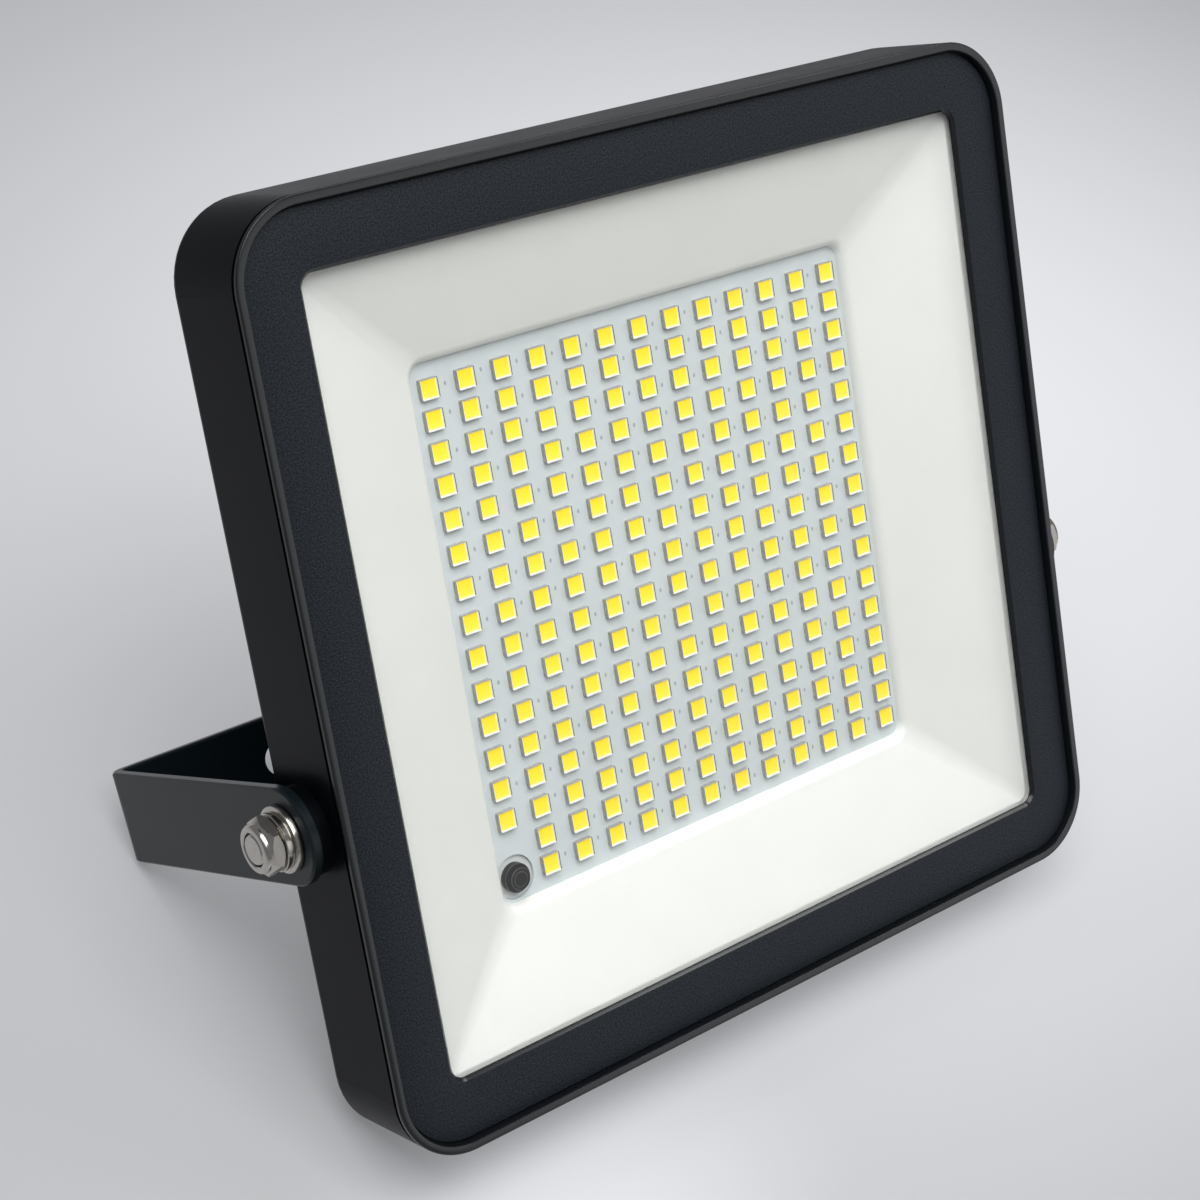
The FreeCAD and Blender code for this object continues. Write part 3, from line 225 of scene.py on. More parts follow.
def glassMaterial(name, colour, roughness, ior):
    material = newMaterial(name, colour, roughness, Transmission_Weight=1.0, IOR=ior)
    clear = addNode(material, "ShaderNodeBsdfTransparent")
    mix = addNode(material, "ShaderNodeMixShader")
    path = addNode(material, "ShaderNodeLightPath")
    output = material.node_tree.nodes["Material Output"]
    link(material, path.outputs["Is Shadow Ray"], mix.inputs["Fac"])
    link(material, material.node_tree.nodes["Principled BSDF"].outputs["BSDF"], mix.inputs[1])
    link(material, clear.outputs["BSDF"], mix.inputs[2])
    link(material, mix.outputs["Shader"], output.inputs["Surface"])
    return material


moulded = {
    "reflectorWhite": {"colour": (0.83, 0.85, 0.815), "roughness": 0.3, "tint": 0.012, "bumpAmount": 0},
    "packageWhite": {"colour": (0.78, 0.79, 0.77), "roughness": 0.35},
    # the LED package walls: a darker copy of the white body, painted shade on its sides
    "packageSideShade": {"colour": (0.36, 0.355, 0.34), "roughness": 0.25},
    # dark painted shade for the LED rim chamfers on their far right and top sides
    "paintedEdgeShade": {"colour": (0.06, 0.057, 0.055), "roughness": 0.3, "Metallic": 0.3},
    "boardDot": {"colour": (0.40, 0.44, 0.47), "roughness": 0.4},
    "boardPaint": {"colour": (0.67, 0.73, 0.745), "roughness": 0.38, "tint": 0.025},
    "padPlastic": {"colour": (0.70, 0.74, 0.735), "roughness": 0.35},
    "sealRubber": {"colour": (0.012, 0.012, 0.012), "roughness": 0.6},
    "nylonBlack": {"colour": (0.014, 0.014, 0.015), "roughness": 0.45},
    "ringNylon": {"colour": (0.05, 0.05, 0.055), "roughness": 0.5},
    "sensorBlack": {"colour": (0.005, 0.005, 0.006), "roughness": 0.16},
    # lighter grey for the sensor's bevels and inner ring: a painted highlight
    "sensorPaintedGlint": {"colour": (0.05, 0.05, 0.053), "roughness": 0.25},
    "boardGreen": {"colour": (0.01, 0.09, 0.035), "roughness": 0.35},
    "socketWhite": {"colour": (0.7, 0.67, 0.58), "roughness": 0.45},
    "cellWrap": {"colour": (0.02, 0.09, 0.22), "roughness": 0.3},
}
for name, settings in moulded.items():
    finishes[name] = mouldedMaterial(name, **settings)

steels = {
    "contactSilver": {"colour": (0.55, 0.55, 0.56), "roughness": 0.35, "stretch": (1, 1, 1), "edge": 0},
    "stainless": {"colour": (0.52, 0.495, 0.46), "roughness": 0.17, "stretch": (1, 1, 1)},
    "steelFlat": {"colour": (0.44, 0.42, 0.39), "roughness": 0.36, "stretch": (1, 1, 1)},
    "aluminium": {"colour": (0.72, 0.73, 0.74), "roughness": 0.35, "stretch": (8, 1, 1)},
}
for name, settings in steels.items():
    finishes[name] = steelMaterial(name, **settings)

finishes["paneGlass"] = glassMaterial("paneGlass", (1.0, 1.0, 1.0), 0.0, 1.45)
finishes["lensGlass"] = glassMaterial("lensGlass", (0.75, 0.78, 0.8), 0.03, 1.45)


def phosphorMaterial(values):
    material = newMaterial("phosphorYellow", values["middle"], values["roughness"],
                           Specular_IOR_Level=values["specular"])
    place = addNode(material, "ShaderNodeUVMap", uv_map="window")
    split = addNode(material, "ShaderNodeSeparateXYZ")
    link(material, place.outputs["UV"], split.inputs["Vector"])
    # painted shading: the window is lighter yellow towards its bottom and deeper orange towards its top
    body = ramp(material, split.outputs["Y"], [(0.0, values["low"]), (0.5, values["middle"]),
                                               (1.0, values["high"])])
    # a pale painted highlight along the right and bottom edges of the window
    fromRight = addNode(material, "ShaderNodeMath", operation="SUBTRACT")
    fromRight.inputs[0].default_value = 1.0
    link(material, split.outputs["X"], fromRight.inputs[1])
    nearest = addNode(material, "ShaderNodeMath", operation="MINIMUM")
    link(material, fromRight.outputs["Value"], nearest.inputs[0])
    link(material, split.outputs["Y"], nearest.inputs[1])
    border = addNode(material, "ShaderNodeMapRange")
    border.inputs["From Min"].default_value = values["border"] * 0.5
    border.inputs["From Max"].default_value = values["border"] * 1.5
    link(material, nearest.outputs["Value"], border.inputs["Value"])
    mix = addNode(material, "ShaderNodeMix", data_type="RGBA")
    link(material, border.outputs["Result"], mix.inputs["Factor"])
    link(material, body, mix.inputs[7])
    mix.inputs[6].default_value = (*values["paintedEdgeGlint"], 1)
    link(material, mix.outputs[2], socket(material, "Base Color"))
    # the phosphor colour is also emitted: a painted glow, the LEDs are not lit
    link(material, mix.outputs[2], socket(material, "Emission Color"))
    socket(material, "Emission Strength").default_value = values["paintedGlow"]
    material.cycles.emission_sampling = "NONE"
    return material


# phosphor colours: painted shading from a light bottom to an orange top, a painted highlight along two edges
# and a weak painted glow
phosphor = {
    "low": (1.0, 0.90, 0.08), "middle": (1.0, 0.84, 0.012), "high": (1.0, 0.76, 0.004),
    "paintedEdgeGlint": (1.0, 0.93, 0.42), "border": 0.05, "roughness": 0.38, "specular": 0.2,
    "paintedGlow": 0.12,
}
finishes["phosphorYellow"] = phosphorMaterial(phosphor)
print("materials ready")

cadFinishes = {
    "rear_housing": "satinCoat", "front_glass": "paneGlass", "glass_gasket": "sealRubber",
    "body_seal": "sealRubber", "led_board": "boardPaint", "sensor_holder": "padPlastic",
    "heat_spreader": "aluminium", "battery_cells": "cellWrap", "battery_tray": "nylonBlack",
    "controller_board": "boardGreen", "controller_coil": "nylonBlack", "controller_chip": "nylonBlack",
    "controller_capacitor": "nylonBlack", "controller_socket": "socketWhite",
    "frame_screws": "stainless", "spreader_screws": "stainless", "controller_screws": "stainless",
    "gland_body": "nylonBlack", "gland_cap": "nylonBlack", "gland_seal": "sealRubber",
    "gland_locknut": "nylonBlack", "mounting_bracket": "bracketCoat",
    "front_frame": "satinCoat", "reflector": "reflectorWhite", "led_packages": "packageWhite",
    "led_phosphors": "phosphorYellow", "sensor_body": "sensorBlack", "sensor_lens": "lensGlass",
}
for word in ("left", "right"):
    for stem in ("pivot_bolt", "flat_washer", "spring_washer", "lock_nut"):
        cadFinishes[f"{stem}_{word}"] = "stainless"
    cadFinishes[f"nut_ring_{word}"] = "ringNylon"


def dressCadNodes():
    for name, finish in cadFinishes.items():
        data = nodes[name].data
        data.materials.clear()
        data.materials.append(finishes[finish])
    print("frame dressed:", len(cadFinishes), "nodes")


dressCadNodes()


tiny = 0.001 * mm                             # points nearer than this are one point


# building helpers: pieces are built in the lamp's axes, and finishPiece puts them in place
def roundedLoop(bm, outline, level, steps):
    width, height, radius = outline
    made = bmesh.ops.create_grid(bm, x_segments=1, y_segments=1, size=0.5)
    bmesh.ops.scale(bm, vec=(width, height, 1), verts=made["verts"])
    bmesh.ops.translate(bm, vec=(0, 0, level), verts=made["verts"])
    bent = bmesh.ops.bevel(bm, geom=made["verts"], offset=radius, segments=steps, profile=0.5,
                           affect="VERTICES", offset_type="OFFSET", material=-1)
    face = max(bent["verts"][0].link_faces, key=lambda item: len(item.verts))
    edges = list(face.edges)
    bmesh.ops.delete(bm, geom=[face], context="FACES_ONLY")
    return edges


# a wall drawn out of a loop; its new edge follows the new outline, corner for corner
def drawWall(bm, edges, old, new, level):
    made = bmesh.ops.extrude_edge_only(bm, edges=edges)["geom"]
    verts = [item for item in made if isinstance(item, bmesh.types.BMVert)]
    for vertex in verts:
        sides = [math.copysign(1, vertex.co.x), math.copysign(1, vertex.co.y)]
        for axis in (0, 1):
            centre = sides[axis] * (old[axis] / 2 - old[2])
            direction = (vertex.co[axis] - centre) / old[2]
            vertex.co[axis] = sides[axis] * (new[axis] / 2 - new[2]) + direction * new[2]
        vertex.co.z = level
    fresh = set(verts)
    return [item for item in made if isinstance(item, bmesh.types.BMEdge) and fresh.issuperset(item.verts)]


def drawSection(bm, sections, steps):
    outline, level = sections[0]
    loops = [roundedLoop(bm, outline, level, steps)]
    for new, level in sections[1:] + sections[:1]:
        loops.append(drawWall(bm, loops[-1], outline, new, level))
        outline = new
    return loops


def roundEdges(bm, edges, size, segments=3):
    bmesh.ops.bevel(bm, geom=edges, offset=size, segments=segments, profile=0.5, affect="EDGES",
                    material=-1)


def finishPiece(name, bm, looks, replaced=(), matrix=lamp, angle=35):
    bmesh.ops.remove_doubles(bm, verts=bm.verts, dist=tiny / 10)
    bmesh.ops.recalc_face_normals(bm, faces=bm.faces)
    bm.transform(matrix)
    mesh = bpy.data.meshes.new(name)
    bm.to_mesh(mesh)
    bm.free()
    for look in looks:
        mesh.materials.append(finishes[look])
    mesh.shade_smooth()
    mesh.set_sharp_from_angle(angle=math.radians(angle))
    piece = bpy.data.objects.new(name, mesh)
    scene.collection.objects.link(piece)
    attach(piece, "lamp")
    if replaced:
        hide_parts(*replaced)
    print(name, "made:", len(mesh.polygons), "faces")
    return piece


# front frame: sections from the back of the window round the front to the back of the plate
frontFrame = {
    "cornerSteps": 20,
    "windowMargin": 17.4 * mm, "windowRadius": 3.5 * mm, "outerRadius": 19.0 * mm,
    "bevel": 0.9 * mm, "lip": 1.2 * mm, "rebate": 3.5 * mm, "plate": 2.6 * mm,
    "rimWidth": 2.1 * mm, "rimHeight": 2.0 * mm, "overhang": 1.1 * mm, "tongue": 1.1 * mm,
    "groove": 0.6 * mm, "grooveDepth": 0.5 * mm, "rimRound": 0.32 * mm, "faceRound": 0.18 * mm,
    "rimStart": 0.05 * mm,
}


def makeFrontFrame(values):
    low, high = lampReach("front_frame")
    width, height = high.x - low.x, high.y - low.y
    bm = bmesh.new()

    def outer(inset, level):
        return (width - 2 * inset, height - 2 * inset, values["outerRadius"] - inset), level

    def window(grow, level):
        inset = values["windowMargin"] - grow
        return (width - 2 * inset, height - 2 * inset, values["windowRadius"] + grow), level

    rim, foot = values["rimWidth"], values["rimWidth"] + values["groove"]
    shoulder = values["rimHeight"] - values["overhang"]
    loops = drawSection(bm, [
        window(0, -values["lip"]), window(0, -values["bevel"]), window(values["bevel"], 0),
        outer(foot, 0), outer(foot, -values["grooveDepth"]), outer(rim, -values["grooveDepth"]),
        outer(rim, values["rimHeight"]), outer(0, values["rimHeight"]), outer(0, shoulder),
        outer(values["tongue"], shoulder), outer(values["tongue"], -values["plate"]),
        window(values["rebate"], -values["plate"]), window(values["rebate"], -values["lip"]),
    ], values["cornerSteps"])
    for edge in loops[3]:
        for face in edge.link_faces:
            if abs(face.normal.z) > 0.9 or abs(face.calc_center_median().z) < tiny:
                face.material_index = 1
    roundEdges(bm, loops[6] + loops[7], values["rimRound"], 4)
    roundEdges(bm, loops[2] + loops[3], values["faceRound"], 2)
    bm.normal_update()
    for face in bm.faces:
        level = face.calc_center_median().z
        if level > values["rimStart"] or (level < 0 and 0.3 < abs(face.normal.z) < 0.9):
            face.material_index = 2
    return finishPiece("frontFrame", bm, ["satinCoat", "texturedCoat", "rimCoat"],
                       ["front_frame"])


makeFrontFrame(frontFrame)


# reflector: one moulded tray with soft mitres
reflector = {
    "steps": 10, "ledge": 0.4 * mm, "overlap": 3.4 * mm, "windowWidth": 202 * mm, "windowHeight": 194 * mm,
    "collarWidth": 137.4 * mm, "collarHeight": 136.4 * mm, "collarRadius": 3.5 * mm,
    "collarTop": -15.5 * mm, "boardLevel": -17.8 * mm, "glassBack": -4.2 * mm, "wall": 1.5 * mm,
    "creaseRadius": 2.5 * mm, "mouthRound": 2.4 * mm, "creaseRound": 0.3 * mm,
}


def makeReflector(values):
    bm = bmesh.new()
    wall, crease = values["wall"], values["creaseRadius"]

    def window(grow, radius, level):
        return (values["windowWidth"] + 2 * grow, values["windowHeight"] + 2 * grow, radius), level

    def collar(grow, level):
        return (values["collarWidth"] + 2 * grow, values["collarHeight"] + 2 * grow,
                values["collarRadius"] + grow), level

    loops = drawSection(bm, [
        window(values["overlap"], crease + values["overlap"], values["glassBack"] - wall),
        window(values["overlap"], crease + values["overlap"], values["glassBack"]),
        window(-values["ledge"], crease, values["glassBack"]),
        collar(0, values["collarTop"]), collar(0, values["boardLevel"]), collar(wall, values["boardLevel"]),
        collar(wall, values["collarTop"] - wall),
        window(wall * 1.5 - values["ledge"], crease + wall, values["glassBack"] - wall),
    ], values["steps"])
    roundEdges(bm, loops[3], values["mouthRound"], 6)
    roundEdges(bm, loops[2], values["creaseRound"], 3)
    return finishPiece("reflectorTray", bm, ["reflectorWhite"], ["reflector"])


makeReflector(reflector)


# LED packages: one moulded body with a bevelled rim, a light window and four contacts, repeated
ledPackage = {
    "side": 5.0 * mm, "height": 1.5 * mm, "border": 0.16 * mm, "sink": 0.16 * mm, "cupWall": 0.12 * mm,
    "cornerCut": 0.2 * mm, "rimCut": 0.16 * mm,
    "contactWidth": 1.0 * mm, "contactHeight": 0.5 * mm, "contactOut": 0.1 * mm, "contactSpread": 1.25 * mm,
}


def islandCentres(node):
    bm = bmesh.new()
    bm.from_mesh(nodes[node].data)
    bmesh.ops.remove_doubles(bm, verts=bm.verts, dist=tiny)
    bm.transform(lampInverse)
    seen = set()
    centres = []
    for start in bm.verts:
        if start in seen:
            continue
        island = [start]
        seen.add(start)
        for vertex in island:
            for edge in vertex.link_edges:
                other = edge.other_vert(vertex)
                if other not in seen:
                    seen.add(other)
                    island.append(other)
        xs, ys, zs = [[vertex.co[axis] for vertex in island] for axis in range(3)]
        centres.append(Vector(((min(xs) + max(xs)) / 2, (min(ys) + max(ys)) / 2, min(zs))))
    bm.free()
    return centres


def packageMesh(values):
    bm = bmesh.new()
    made = bmesh.ops.create_cube(bm, size=1)
    bmesh.ops.scale(bm, vec=(values["side"], values["side"], values["height"]), verts=made["verts"])
    bmesh.ops.translate(bm, vec=(0, 0, values["height"] / 2), verts=made["verts"])
    upright = [edge for edge in bm.edges if abs(edge.verts[0].co.z - edge.verts[1].co.z) > 0.1 * mm]
    # every face starts with the side walls' painted shade; the top faces are set back to white below
    for face in bm.faces:
        face.material_index = 1
    top = max(bm.faces, key=lambda face: face.calc_center_median().z)
    outer = list(top.verts)
    edges = bmesh.ops.inset_region(bm, faces=[top], thickness=values["rimCut"], depth=0)["faces"]
    bmesh.ops.translate(bm, vec=(0, 0, -values["rimCut"]), verts=outer)
    rim = bmesh.ops.inset_region(bm, faces=[top], thickness=values["border"], depth=0)["faces"]
    cup = bmesh.ops.inset_region(bm, faces=[top], thickness=values["cupWall"], depth=-values["sink"])["faces"]
    for face in rim + cup:
        face.material_index = 0
    for face in edges:                        # painted shade: the rim chamfers on the far right and top sides are dark
        middle = face.calc_center_median()
        face.material_index = 3 if middle.x + middle.y > 0 else 0
    top.material_index = 2
    roundEdges(bm, upright, values["cornerCut"], 1)
    layer = bm.loops.layers.uv.new("window")
    half = max(abs(vertex.co.x) for vertex in top.verts)
    for loop in top.loops:
        loop[layer].uv = ((loop.vert.co.x / half + 1) / 2, (loop.vert.co.y / half + 1) / 2)
    for side in (-1, 1):
        for spread in (-1, 1):
            tab = bmesh.ops.create_cube(bm, size=1)
            bmesh.ops.scale(bm, vec=(values["contactOut"] * 2, values["contactWidth"],
                                     values["contactHeight"]), verts=tab["verts"])
            bmesh.ops.translate(bm, vec=(side * values["side"] / 2, spread * values["contactSpread"],
                                         values["contactHeight"] / 2), verts=tab["verts"])
            for face in {face for vertex in tab["verts"] for face in vertex.link_faces}:
                face.material_index = 4
    mesh = bpy.data.meshes.new("packageShape")
    bm.to_mesh(mesh)
    bm.free()
    return mesh


def makeLeds(values, centres):
    shape = packageMesh(values)
    bm = bmesh.new()
    for centre in centres:
        count = len(bm.verts)
        bm.from_mesh(shape)
        bm.verts.ensure_lookup_table()
        bmesh.ops.translate(bm, vec=centre, verts=bm.verts[count:])
    bpy.data.meshes.remove(shape)
    looks = ["packageWhite", "packageSideShade", "phosphorYellow", "paintedEdgeShade", "contactSilver"]
    finishPiece("ledPackages", bm, looks, ["led_packages", "led_phosphors"], angle=25)


ledCentres = islandCentres("led_packages")
makeLeds(ledPackage, ledCentres)


# small test pads on the board, one between each pair of neighbours in a row
boardDot = {
    "width": 0.8 * mm, "length": 1.3 * mm, "thickness": 0.03 * mm, "sides": 8,
    "drop": 0.9 * mm, "dropStep": 2.4, "skipEvery": 5, "skipFrom": 3,
}


def makeBoardDots(values, centres):
    bm = bmesh.new()
    columns = sorted({round(centre.x / mm, 1) for centre in centres})
    gap = (columns[1] - columns[0]) * mm
    for number, centre in enumerate(centres):
        if centre.x > (columns[-1] - 1) * mm or number % values["skipEvery"] == values["skipFrom"]:
            continue
        dot = bmesh.ops.create_cone(bm, segments=values["sides"], radius1=0.5, radius2=0.42, depth=1,
                                    cap_ends=True)
        bmesh.ops.scale(bm, vec=(values["width"], values["length"], values["thickness"]), verts=dot["verts"])
        drop = values["drop"] * math.sin(number * values["dropStep"])
        bmesh.ops.translate(bm, vec=centre + Vector((gap / 2, drop, 0)), verts=dot["verts"])
    finishPiece("boardDots", bm, ["boardDot"])


makeBoardDots(boardDot, ledCentres)


# round pieces are spun about their own Z axis from a profile of radius and height
def spinProfile(bm, points, steps, closed=True, angle=2 * math.pi):
    verts = [bm.verts.new((radius, 0, level)) for radius, level in points]
    edges = [bm.edges.new(pair) for pair in zip(verts, verts[1:])]
    if closed:
        edges.append(bm.edges.new((verts[-1], verts[0])))
    whole = math.isclose(angle, 2 * math.pi)
    return bmesh.ops.spin(bm, geom=verts + edges, axis=(0, 0, 1), cent=(0, 0, 0), angle=angle, steps=steps,
                          use_merge=whole, use_duplicate=False)


# light sensor: stepped can with a seat for its small lens
sensor = {
    "steps": 64, "canRound": 0.35 * mm, "ringRadius": 2.9 * mm, "ringHeight": 1.2 * mm,
    "waist": 0.25 * mm, "waistHeight": 0.25 * mm, "lip": 0.3 * mm, "grooveDepth": 0.35 * mm,
    "innerRing": 2.1 * mm, "seatRadius": 1.75 * mm, "seatDepth": 0.55 * mm,
}


def makeSensor(values):
    low, high = lampReach("sensor_body")
    middle = (low + high) / 2
    radius, height = (high.x - low.x) / 2, high.z - low.z
    shoulder = height - values["ringHeight"]
    turn, ring = values["canRound"], values["ringRadius"]
    neck, neckTop = ring - values["waist"], shoulder + values["waistHeight"]
    lip, inner, seat = ring - turn * 0.5 - values["lip"], values["innerRing"], values["seatRadius"]
    groove, floor = height - values["grooveDepth"], height - values["seatDepth"]
    bm = bmesh.new()
    spinProfile(bm, [
        (0, 0), (radius - turn, 0), (radius, turn * 0.5), (radius, shoulder - turn),
        (radius - turn * 0.3, shoulder - turn * 0.3), (radius - turn, shoulder),
        (neck, shoulder), (neck, neckTop), (ring, neckTop), (ring, height - turn * 0.5),
        (ring - turn * 0.5, height), (lip, height), (lip, groove), (inner, groove),
        (inner, height), (seat, height), (seat, floor), (0, floor),
    ], values["steps"], closed=False)
    bm.normal_update()
    for face in bm.faces:                     # painted highlight: the edge bevels and the inner ring are a lighter grey
        spot = face.calc_center_median()
        onRing = spot.z > height - 0.01 * mm and spot.xy.length < inner
        if onRing or (spot.z > turn and 0.2 < abs(face.normal.z) < 0.9):
            face.material_index = 1
    place = lamp @ Matrix.Translation((middle.x, middle.y, low.z))
    finishPiece("sensorCan", bm, ["sensorBlack", "sensorPaintedGlint"], ["sensor_body"],
                matrix=place, angle=28)


makeSensor(sensor)


# pivot hardware: each piece takes its place and thickness along the bolt from its CAD node
pivotStack = {
    "steps": 60, "washerRound": 0.25 * mm, "springRound": 0.2 * mm, "splitAngle": 7.0, "splitSlant": 20.0,
    "splitTurn": 180.0, "wrench": 13.0 * mm, "faceRadius": 6.0 * mm, "footRadius": 6.1 * mm,
    "hexHeight": 3.7 * mm, "sideCuts": 11, "slope": 42.0,
    "collarRadius": 5.95 * mm, "collarRound": 0.9 * mm, "bore": 4.08 * mm, "boreBevel": 0.25 * mm,
}


def stackPlace(node):
    low, high = lampReach(node)
    side = 1 if high.x > 0 else -1
    near, far = sorted((abs(low.x), abs(high.x)))
    middle = (low + high) / 2
    turn = Matrix.Translation((0, middle.y, middle.z)) @ Matrix.Rotation(math.radians(90 * side), 4, "Y")
    return lamp @ turn @ Matrix.Translation((0, 0, near)), far - near, (high.y - low.y) / 2


def makeWasher(values, word):
    node = f"flat_washer_{word}"
    place, thick, radius = stackPlace(node)
    bore, turn = values["bore"] + 0.15 * mm, values["washerRound"]
    bm = bmesh.new()
    spinProfile(bm, [
        (bore, 0), (radius - turn, 0), (radius, turn), (radius, thick - turn * 1.2),
        (radius - turn * 0.35, thick - turn * 0.35), (radius - turn * 1.2, thick), (bore, thick),
    ], values["steps"])
    finishPiece(f"flatWasher_{word}", bm, ["stainless"], [node], matrix=place, angle=28)


def makeSpring(values, word):
    node = f"spring_washer_{word}"
    place, thick, radius = stackPlace(node)
    bore, turn = values["bore"] + 0.05 * mm, values["springRound"]
    bm = bmesh.new()
    spinProfile(bm, [
        (bore, 0), (radius - turn, 0), (radius, turn), (radius, thick - turn), (radius - turn, thick),
        (bore, thick),
    ], values["steps"], angle=2 * math.pi - math.radians(values["splitAngle"]))
    bmesh.ops.holes_fill(bm, edges=[edge for edge in bm.edges if edge.is_boundary], sides=8)
    slant = math.tan(math.radians(values["splitSlant"])) / radius
    for vertex in bm.verts:
        angle = (vertex.co.z - thick / 2) * slant + math.radians(values["splitTurn"])
        vertex.co.xy = (vertex.co.x * math.cos(angle) - vertex.co.y * math.sin(angle),
                        vertex.co.x * math.sin(angle) + vertex.co.y * math.cos(angle))
    finishPiece(f"springWasher_{word}", bm, ["stainless"], [node], matrix=place, angle=28)


def makeNut(values, word):
    node = f"lock_nut_{word}"
    place, tall, _ = stackPlace(node)
    slope = math.tan(math.radians(values["slope"]))
    hexHeight, face, foot = values["hexHeight"], values["faceRadius"], values["footRadius"]
    collar, turn, bore = values["collarRadius"], values["collarRound"], values["bore"]
    bm = bmesh.new()
    bmesh.ops.create_circle(bm, segments=6, radius=values["wrench"] / math.sqrt(3))
    flats = [(edge.verts[0].co + edge.verts[1].co).normalized() for edge in bm.edges]
    bmesh.ops.subdivide_edges(bm, edges=bm.edges[:], cuts=values["sideCuts"])

    # one loop of the nut: a circle of the radius given, or the hexagon where its chamfer cuts it
    def draw(verts, radius, level, chamfer=0):
        for vertex in verts:
            direction = vertex.co.xy.normalized()
            corner = values["wrench"] / 2 / max(direction.dot(flat.xy) for flat in flats)
            vertex.co.xy = direction * (radius or corner)
            vertex.co.z = level + (corner - (face if chamfer < 0 else foot)) * slope * chamfer

    edges = bm.edges[:]
    draw(bm.verts, foot, 0)
    curve = [math.radians(step * 30) for step in range(4)]
    dome = [(collar - turn * (1 - math.cos(angle)), tall - turn * (1 - math.sin(angle)), 0)
            for angle in curve]
    sections = [(None, 0, 1), (None, hexHeight, -1), (face, hexHeight, 0)] + dome + [
        (bore + values["boreBevel"], tall, 0), (bore, tall - values["boreBevel"], 0), (bore, 0, 0),
    ]
    for radius, level, chamfer in sections:
        made = bmesh.ops.extrude_edge_only(bm, edges=edges)["geom"]
        fresh = {item for item in made if isinstance(item, bmesh.types.BMVert)}
        draw(fresh, radius, level, chamfer)
        edges = [item for item in made if isinstance(item, bmesh.types.BMEdge)
                 and fresh.issuperset(item.verts)]
    bmesh.ops.bridge_loops(bm, edges=[edge for edge in bm.edges if edge.is_boundary])
    bm.normal_update()
    for side in bm.faces:                     # the wrench flats keep a duller, drawn surface
        if abs(side.normal.z) < 0.05 and side.calc_center_median().xy.length > foot:
            side.material_index = 1
    finishPiece(f"lockNut_{word}", bm, ["stainless", "steelFlat"], [node], matrix=place,
                angle=34)


def makePivotStacks(values):
    for word in ("left", "right"):
        makeWasher(values, word)
        makeSpring(values, word)
        makeNut(values, word)


makePivotStacks(pivotStack)


# camera: place and axes in the lamp's own axes, as the photo was taken
camera = {
    "place": (-0.3799, 0.1660, 0.4745), "right": (0.7736, -0.1576, 0.6138),
    "up": (0.2869, 0.9507, -0.1174), "lens": 75.86, "sensor": 36,
}


def makeCamera(values):
    right = Vector(values["right"]).normalized()
    up = Vector(values["up"])
    back = right.cross(up).normalized()
    up = back.cross(right)
    turn = Matrix((right, up, back)).transposed().to_4x4()
    data = bpy.data.cameras.new("camera")
    data.lens = values["lens"]
    data.sensor_width = values["sensor"]
    data.clip_start = 0.01
    data.clip_end = 50
    holder = bpy.data.objects.new("camera", data)
    holder.matrix_world = lamp @ Matrix.Translation(Vector(values["place"])) @ turn
    scene.collection.objects.link(holder)
    scene.camera = holder


makeCamera(camera)


# studio: pale floor whose emission paints light onto it, an overhead softbox, a side softbox and a soft
# surround
studio = {
    "floorSize": 8.0, "floorColour": (0.50, 0.50, 0.515), "floorRoughness": 0.6,
    "surround": (0.95, 0.97, 1.0), "surroundStrength": 0.24,
    "paintedPoolColour": (0.95, 0.965, 1.0),
    "paintedFloorPools": [
        # painted light: a broad pool of floor emission round the lamp, fading towards the far floor
        {"strength": 0.44, "place": (0.17, 0.09, 0.0), "reach": (0.6, 0.42, 1.0)},
        # painted light: a small patch of floor emission that fills the shadow in front of the lamp's lower
        # corner
        {"strength": 0.24, "place": (-0.092, -0.114, 0.0), "reach": (0.1, 0.06, 1.0)},
    ],
    "lights": [
        {"name": "key", "place": (-0.22, -0.08, 1.25), "target": (0, 0, 0.05), "size": (1.1, 0.9),
         "power": 10.6},
        {"name": "edgeLight", "place": (0.75, -0.12, 1.05), "target": (0, 0, 0.1), "size": (0.35, 0.35),
         "power": 1.8},
        {"name": "rightCard", "place": (1.17, -1.25, 0.72), "target": (0, 0, 0.1), "size": (1.4, 1.4),
         "power": 5.2},
    ],
}


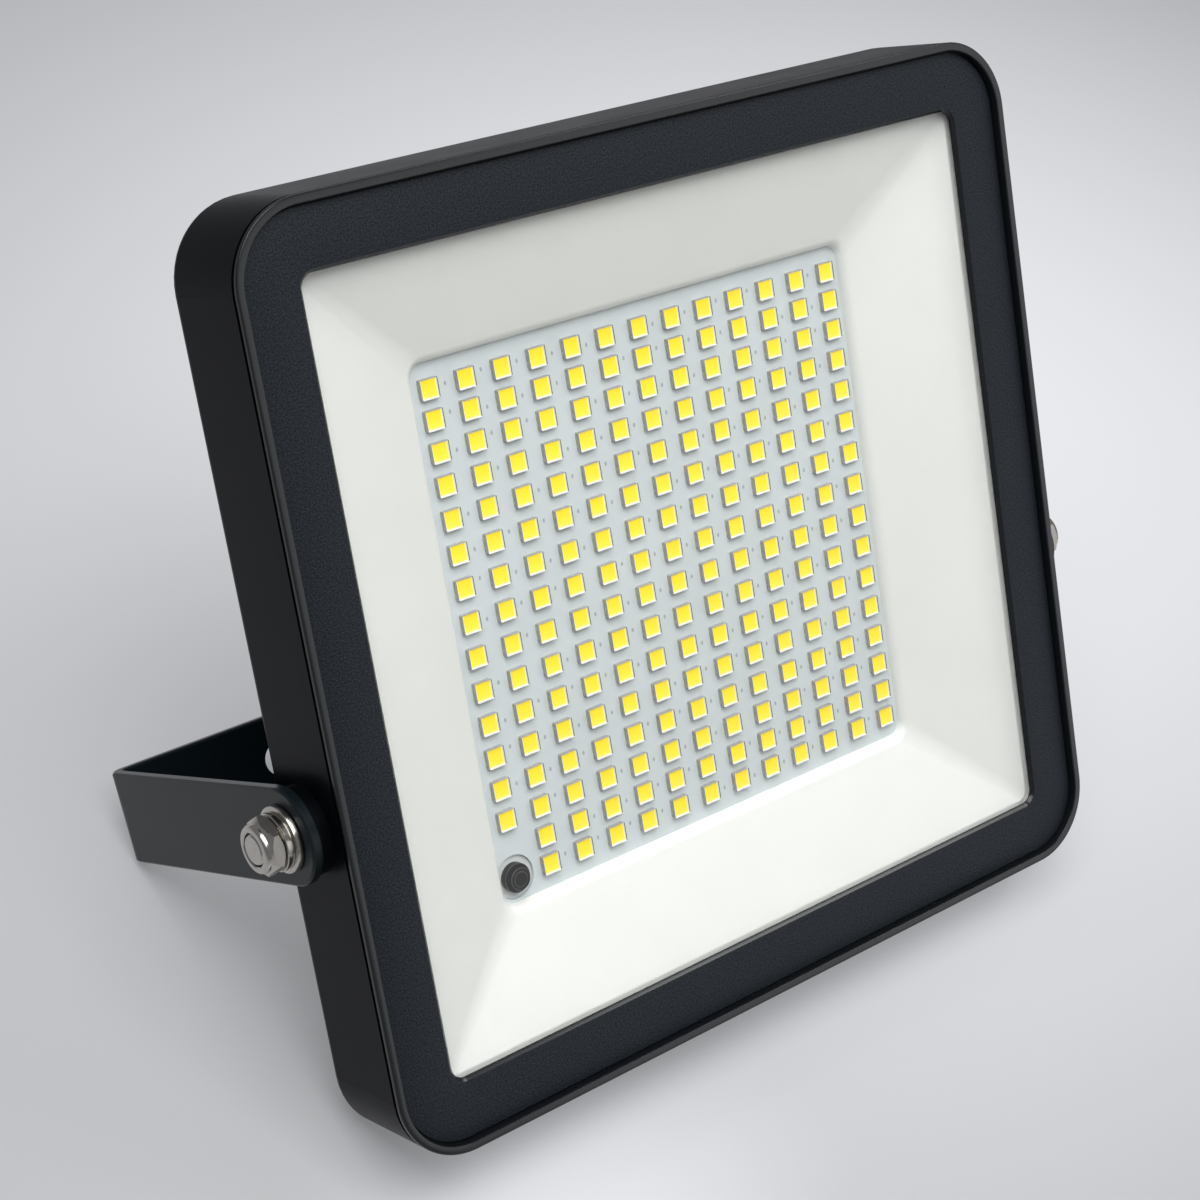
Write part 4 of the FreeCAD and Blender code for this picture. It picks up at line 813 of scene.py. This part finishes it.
def makeStudio(values):
    bm = bmesh.new()
    bmesh.ops.create_grid(bm, x_segments=8, y_segments=8, size=values["floorSize"] / 2)
    mesh = bpy.data.meshes.new("studioFloor")
    bm.to_mesh(mesh)
    bm.free()
    material = newMaterial("floorPaper", values["floorColour"], values["floorRoughness"])
    place = addNode(material, "ShaderNodeTexCoord")
    total = addNode(material, "ShaderNodeMath", operation="ADD")
    # each pool is painted light: the floor glows there, no lamp lights it
    for number, paintedPool in enumerate(values["paintedFloorPools"]):
        mapping = addNode(material, "ShaderNodeMapping", vector_type="TEXTURE")
        mapping.inputs["Location"].default_value = paintedPool["place"]
        mapping.inputs["Scale"].default_value = paintedPool["reach"]
        gradient = addNode(material, "ShaderNodeTexGradient", gradient_type="SPHERICAL")
        soft = addNode(material, "ShaderNodeMapRange", interpolation_type="SMOOTHSTEP")
        soft.inputs["To Max"].default_value = paintedPool["strength"]
        link(material, place.outputs["Object"], mapping.inputs["Vector"])
        link(material, mapping.outputs["Vector"], gradient.inputs["Vector"])
        link(material, gradient.outputs["Fac"], soft.inputs["Value"])
        link(material, soft.outputs["Result"], total.inputs[number])
    link(material, total.outputs["Value"], socket(material, "Emission Strength"))
    socket(material, "Emission Color").default_value = (*values["paintedPoolColour"], 1)
    material.cycles.emission_sampling = "NONE"
    mesh.materials.append(material)
    floor = bpy.data.objects.new("studioFloor", mesh)
    scene.collection.objects.link(floor)
    world = bpy.data.worlds.new("surround")
    world.use_nodes = True
    background = world.node_tree.nodes["Background"]
    background.inputs["Color"].default_value = (*values["surround"], 1)
    background.inputs["Strength"].default_value = values["surroundStrength"]
    world.cycles_visibility.transmission = False
    scene.world = world
    for light in values["lights"]:
        data = bpy.data.lights.new(light["name"], "AREA")
        data.shape = "RECTANGLE"
        data.size, data.size_y = light["size"]
        data.energy = light["power"]
        holder = bpy.data.objects.new(light["name"], data)
        holder.location = light["place"]
        aim = Vector(light["target"]) - Vector(light["place"])
        holder.rotation_euler = aim.to_track_quat("-Z", "Y").to_euler()
        holder.visible_transmission = False
        scene.collection.objects.link(holder)
    scene.view_settings.view_transform = "Standard"


makeStudio(studio)
print("studio ready")
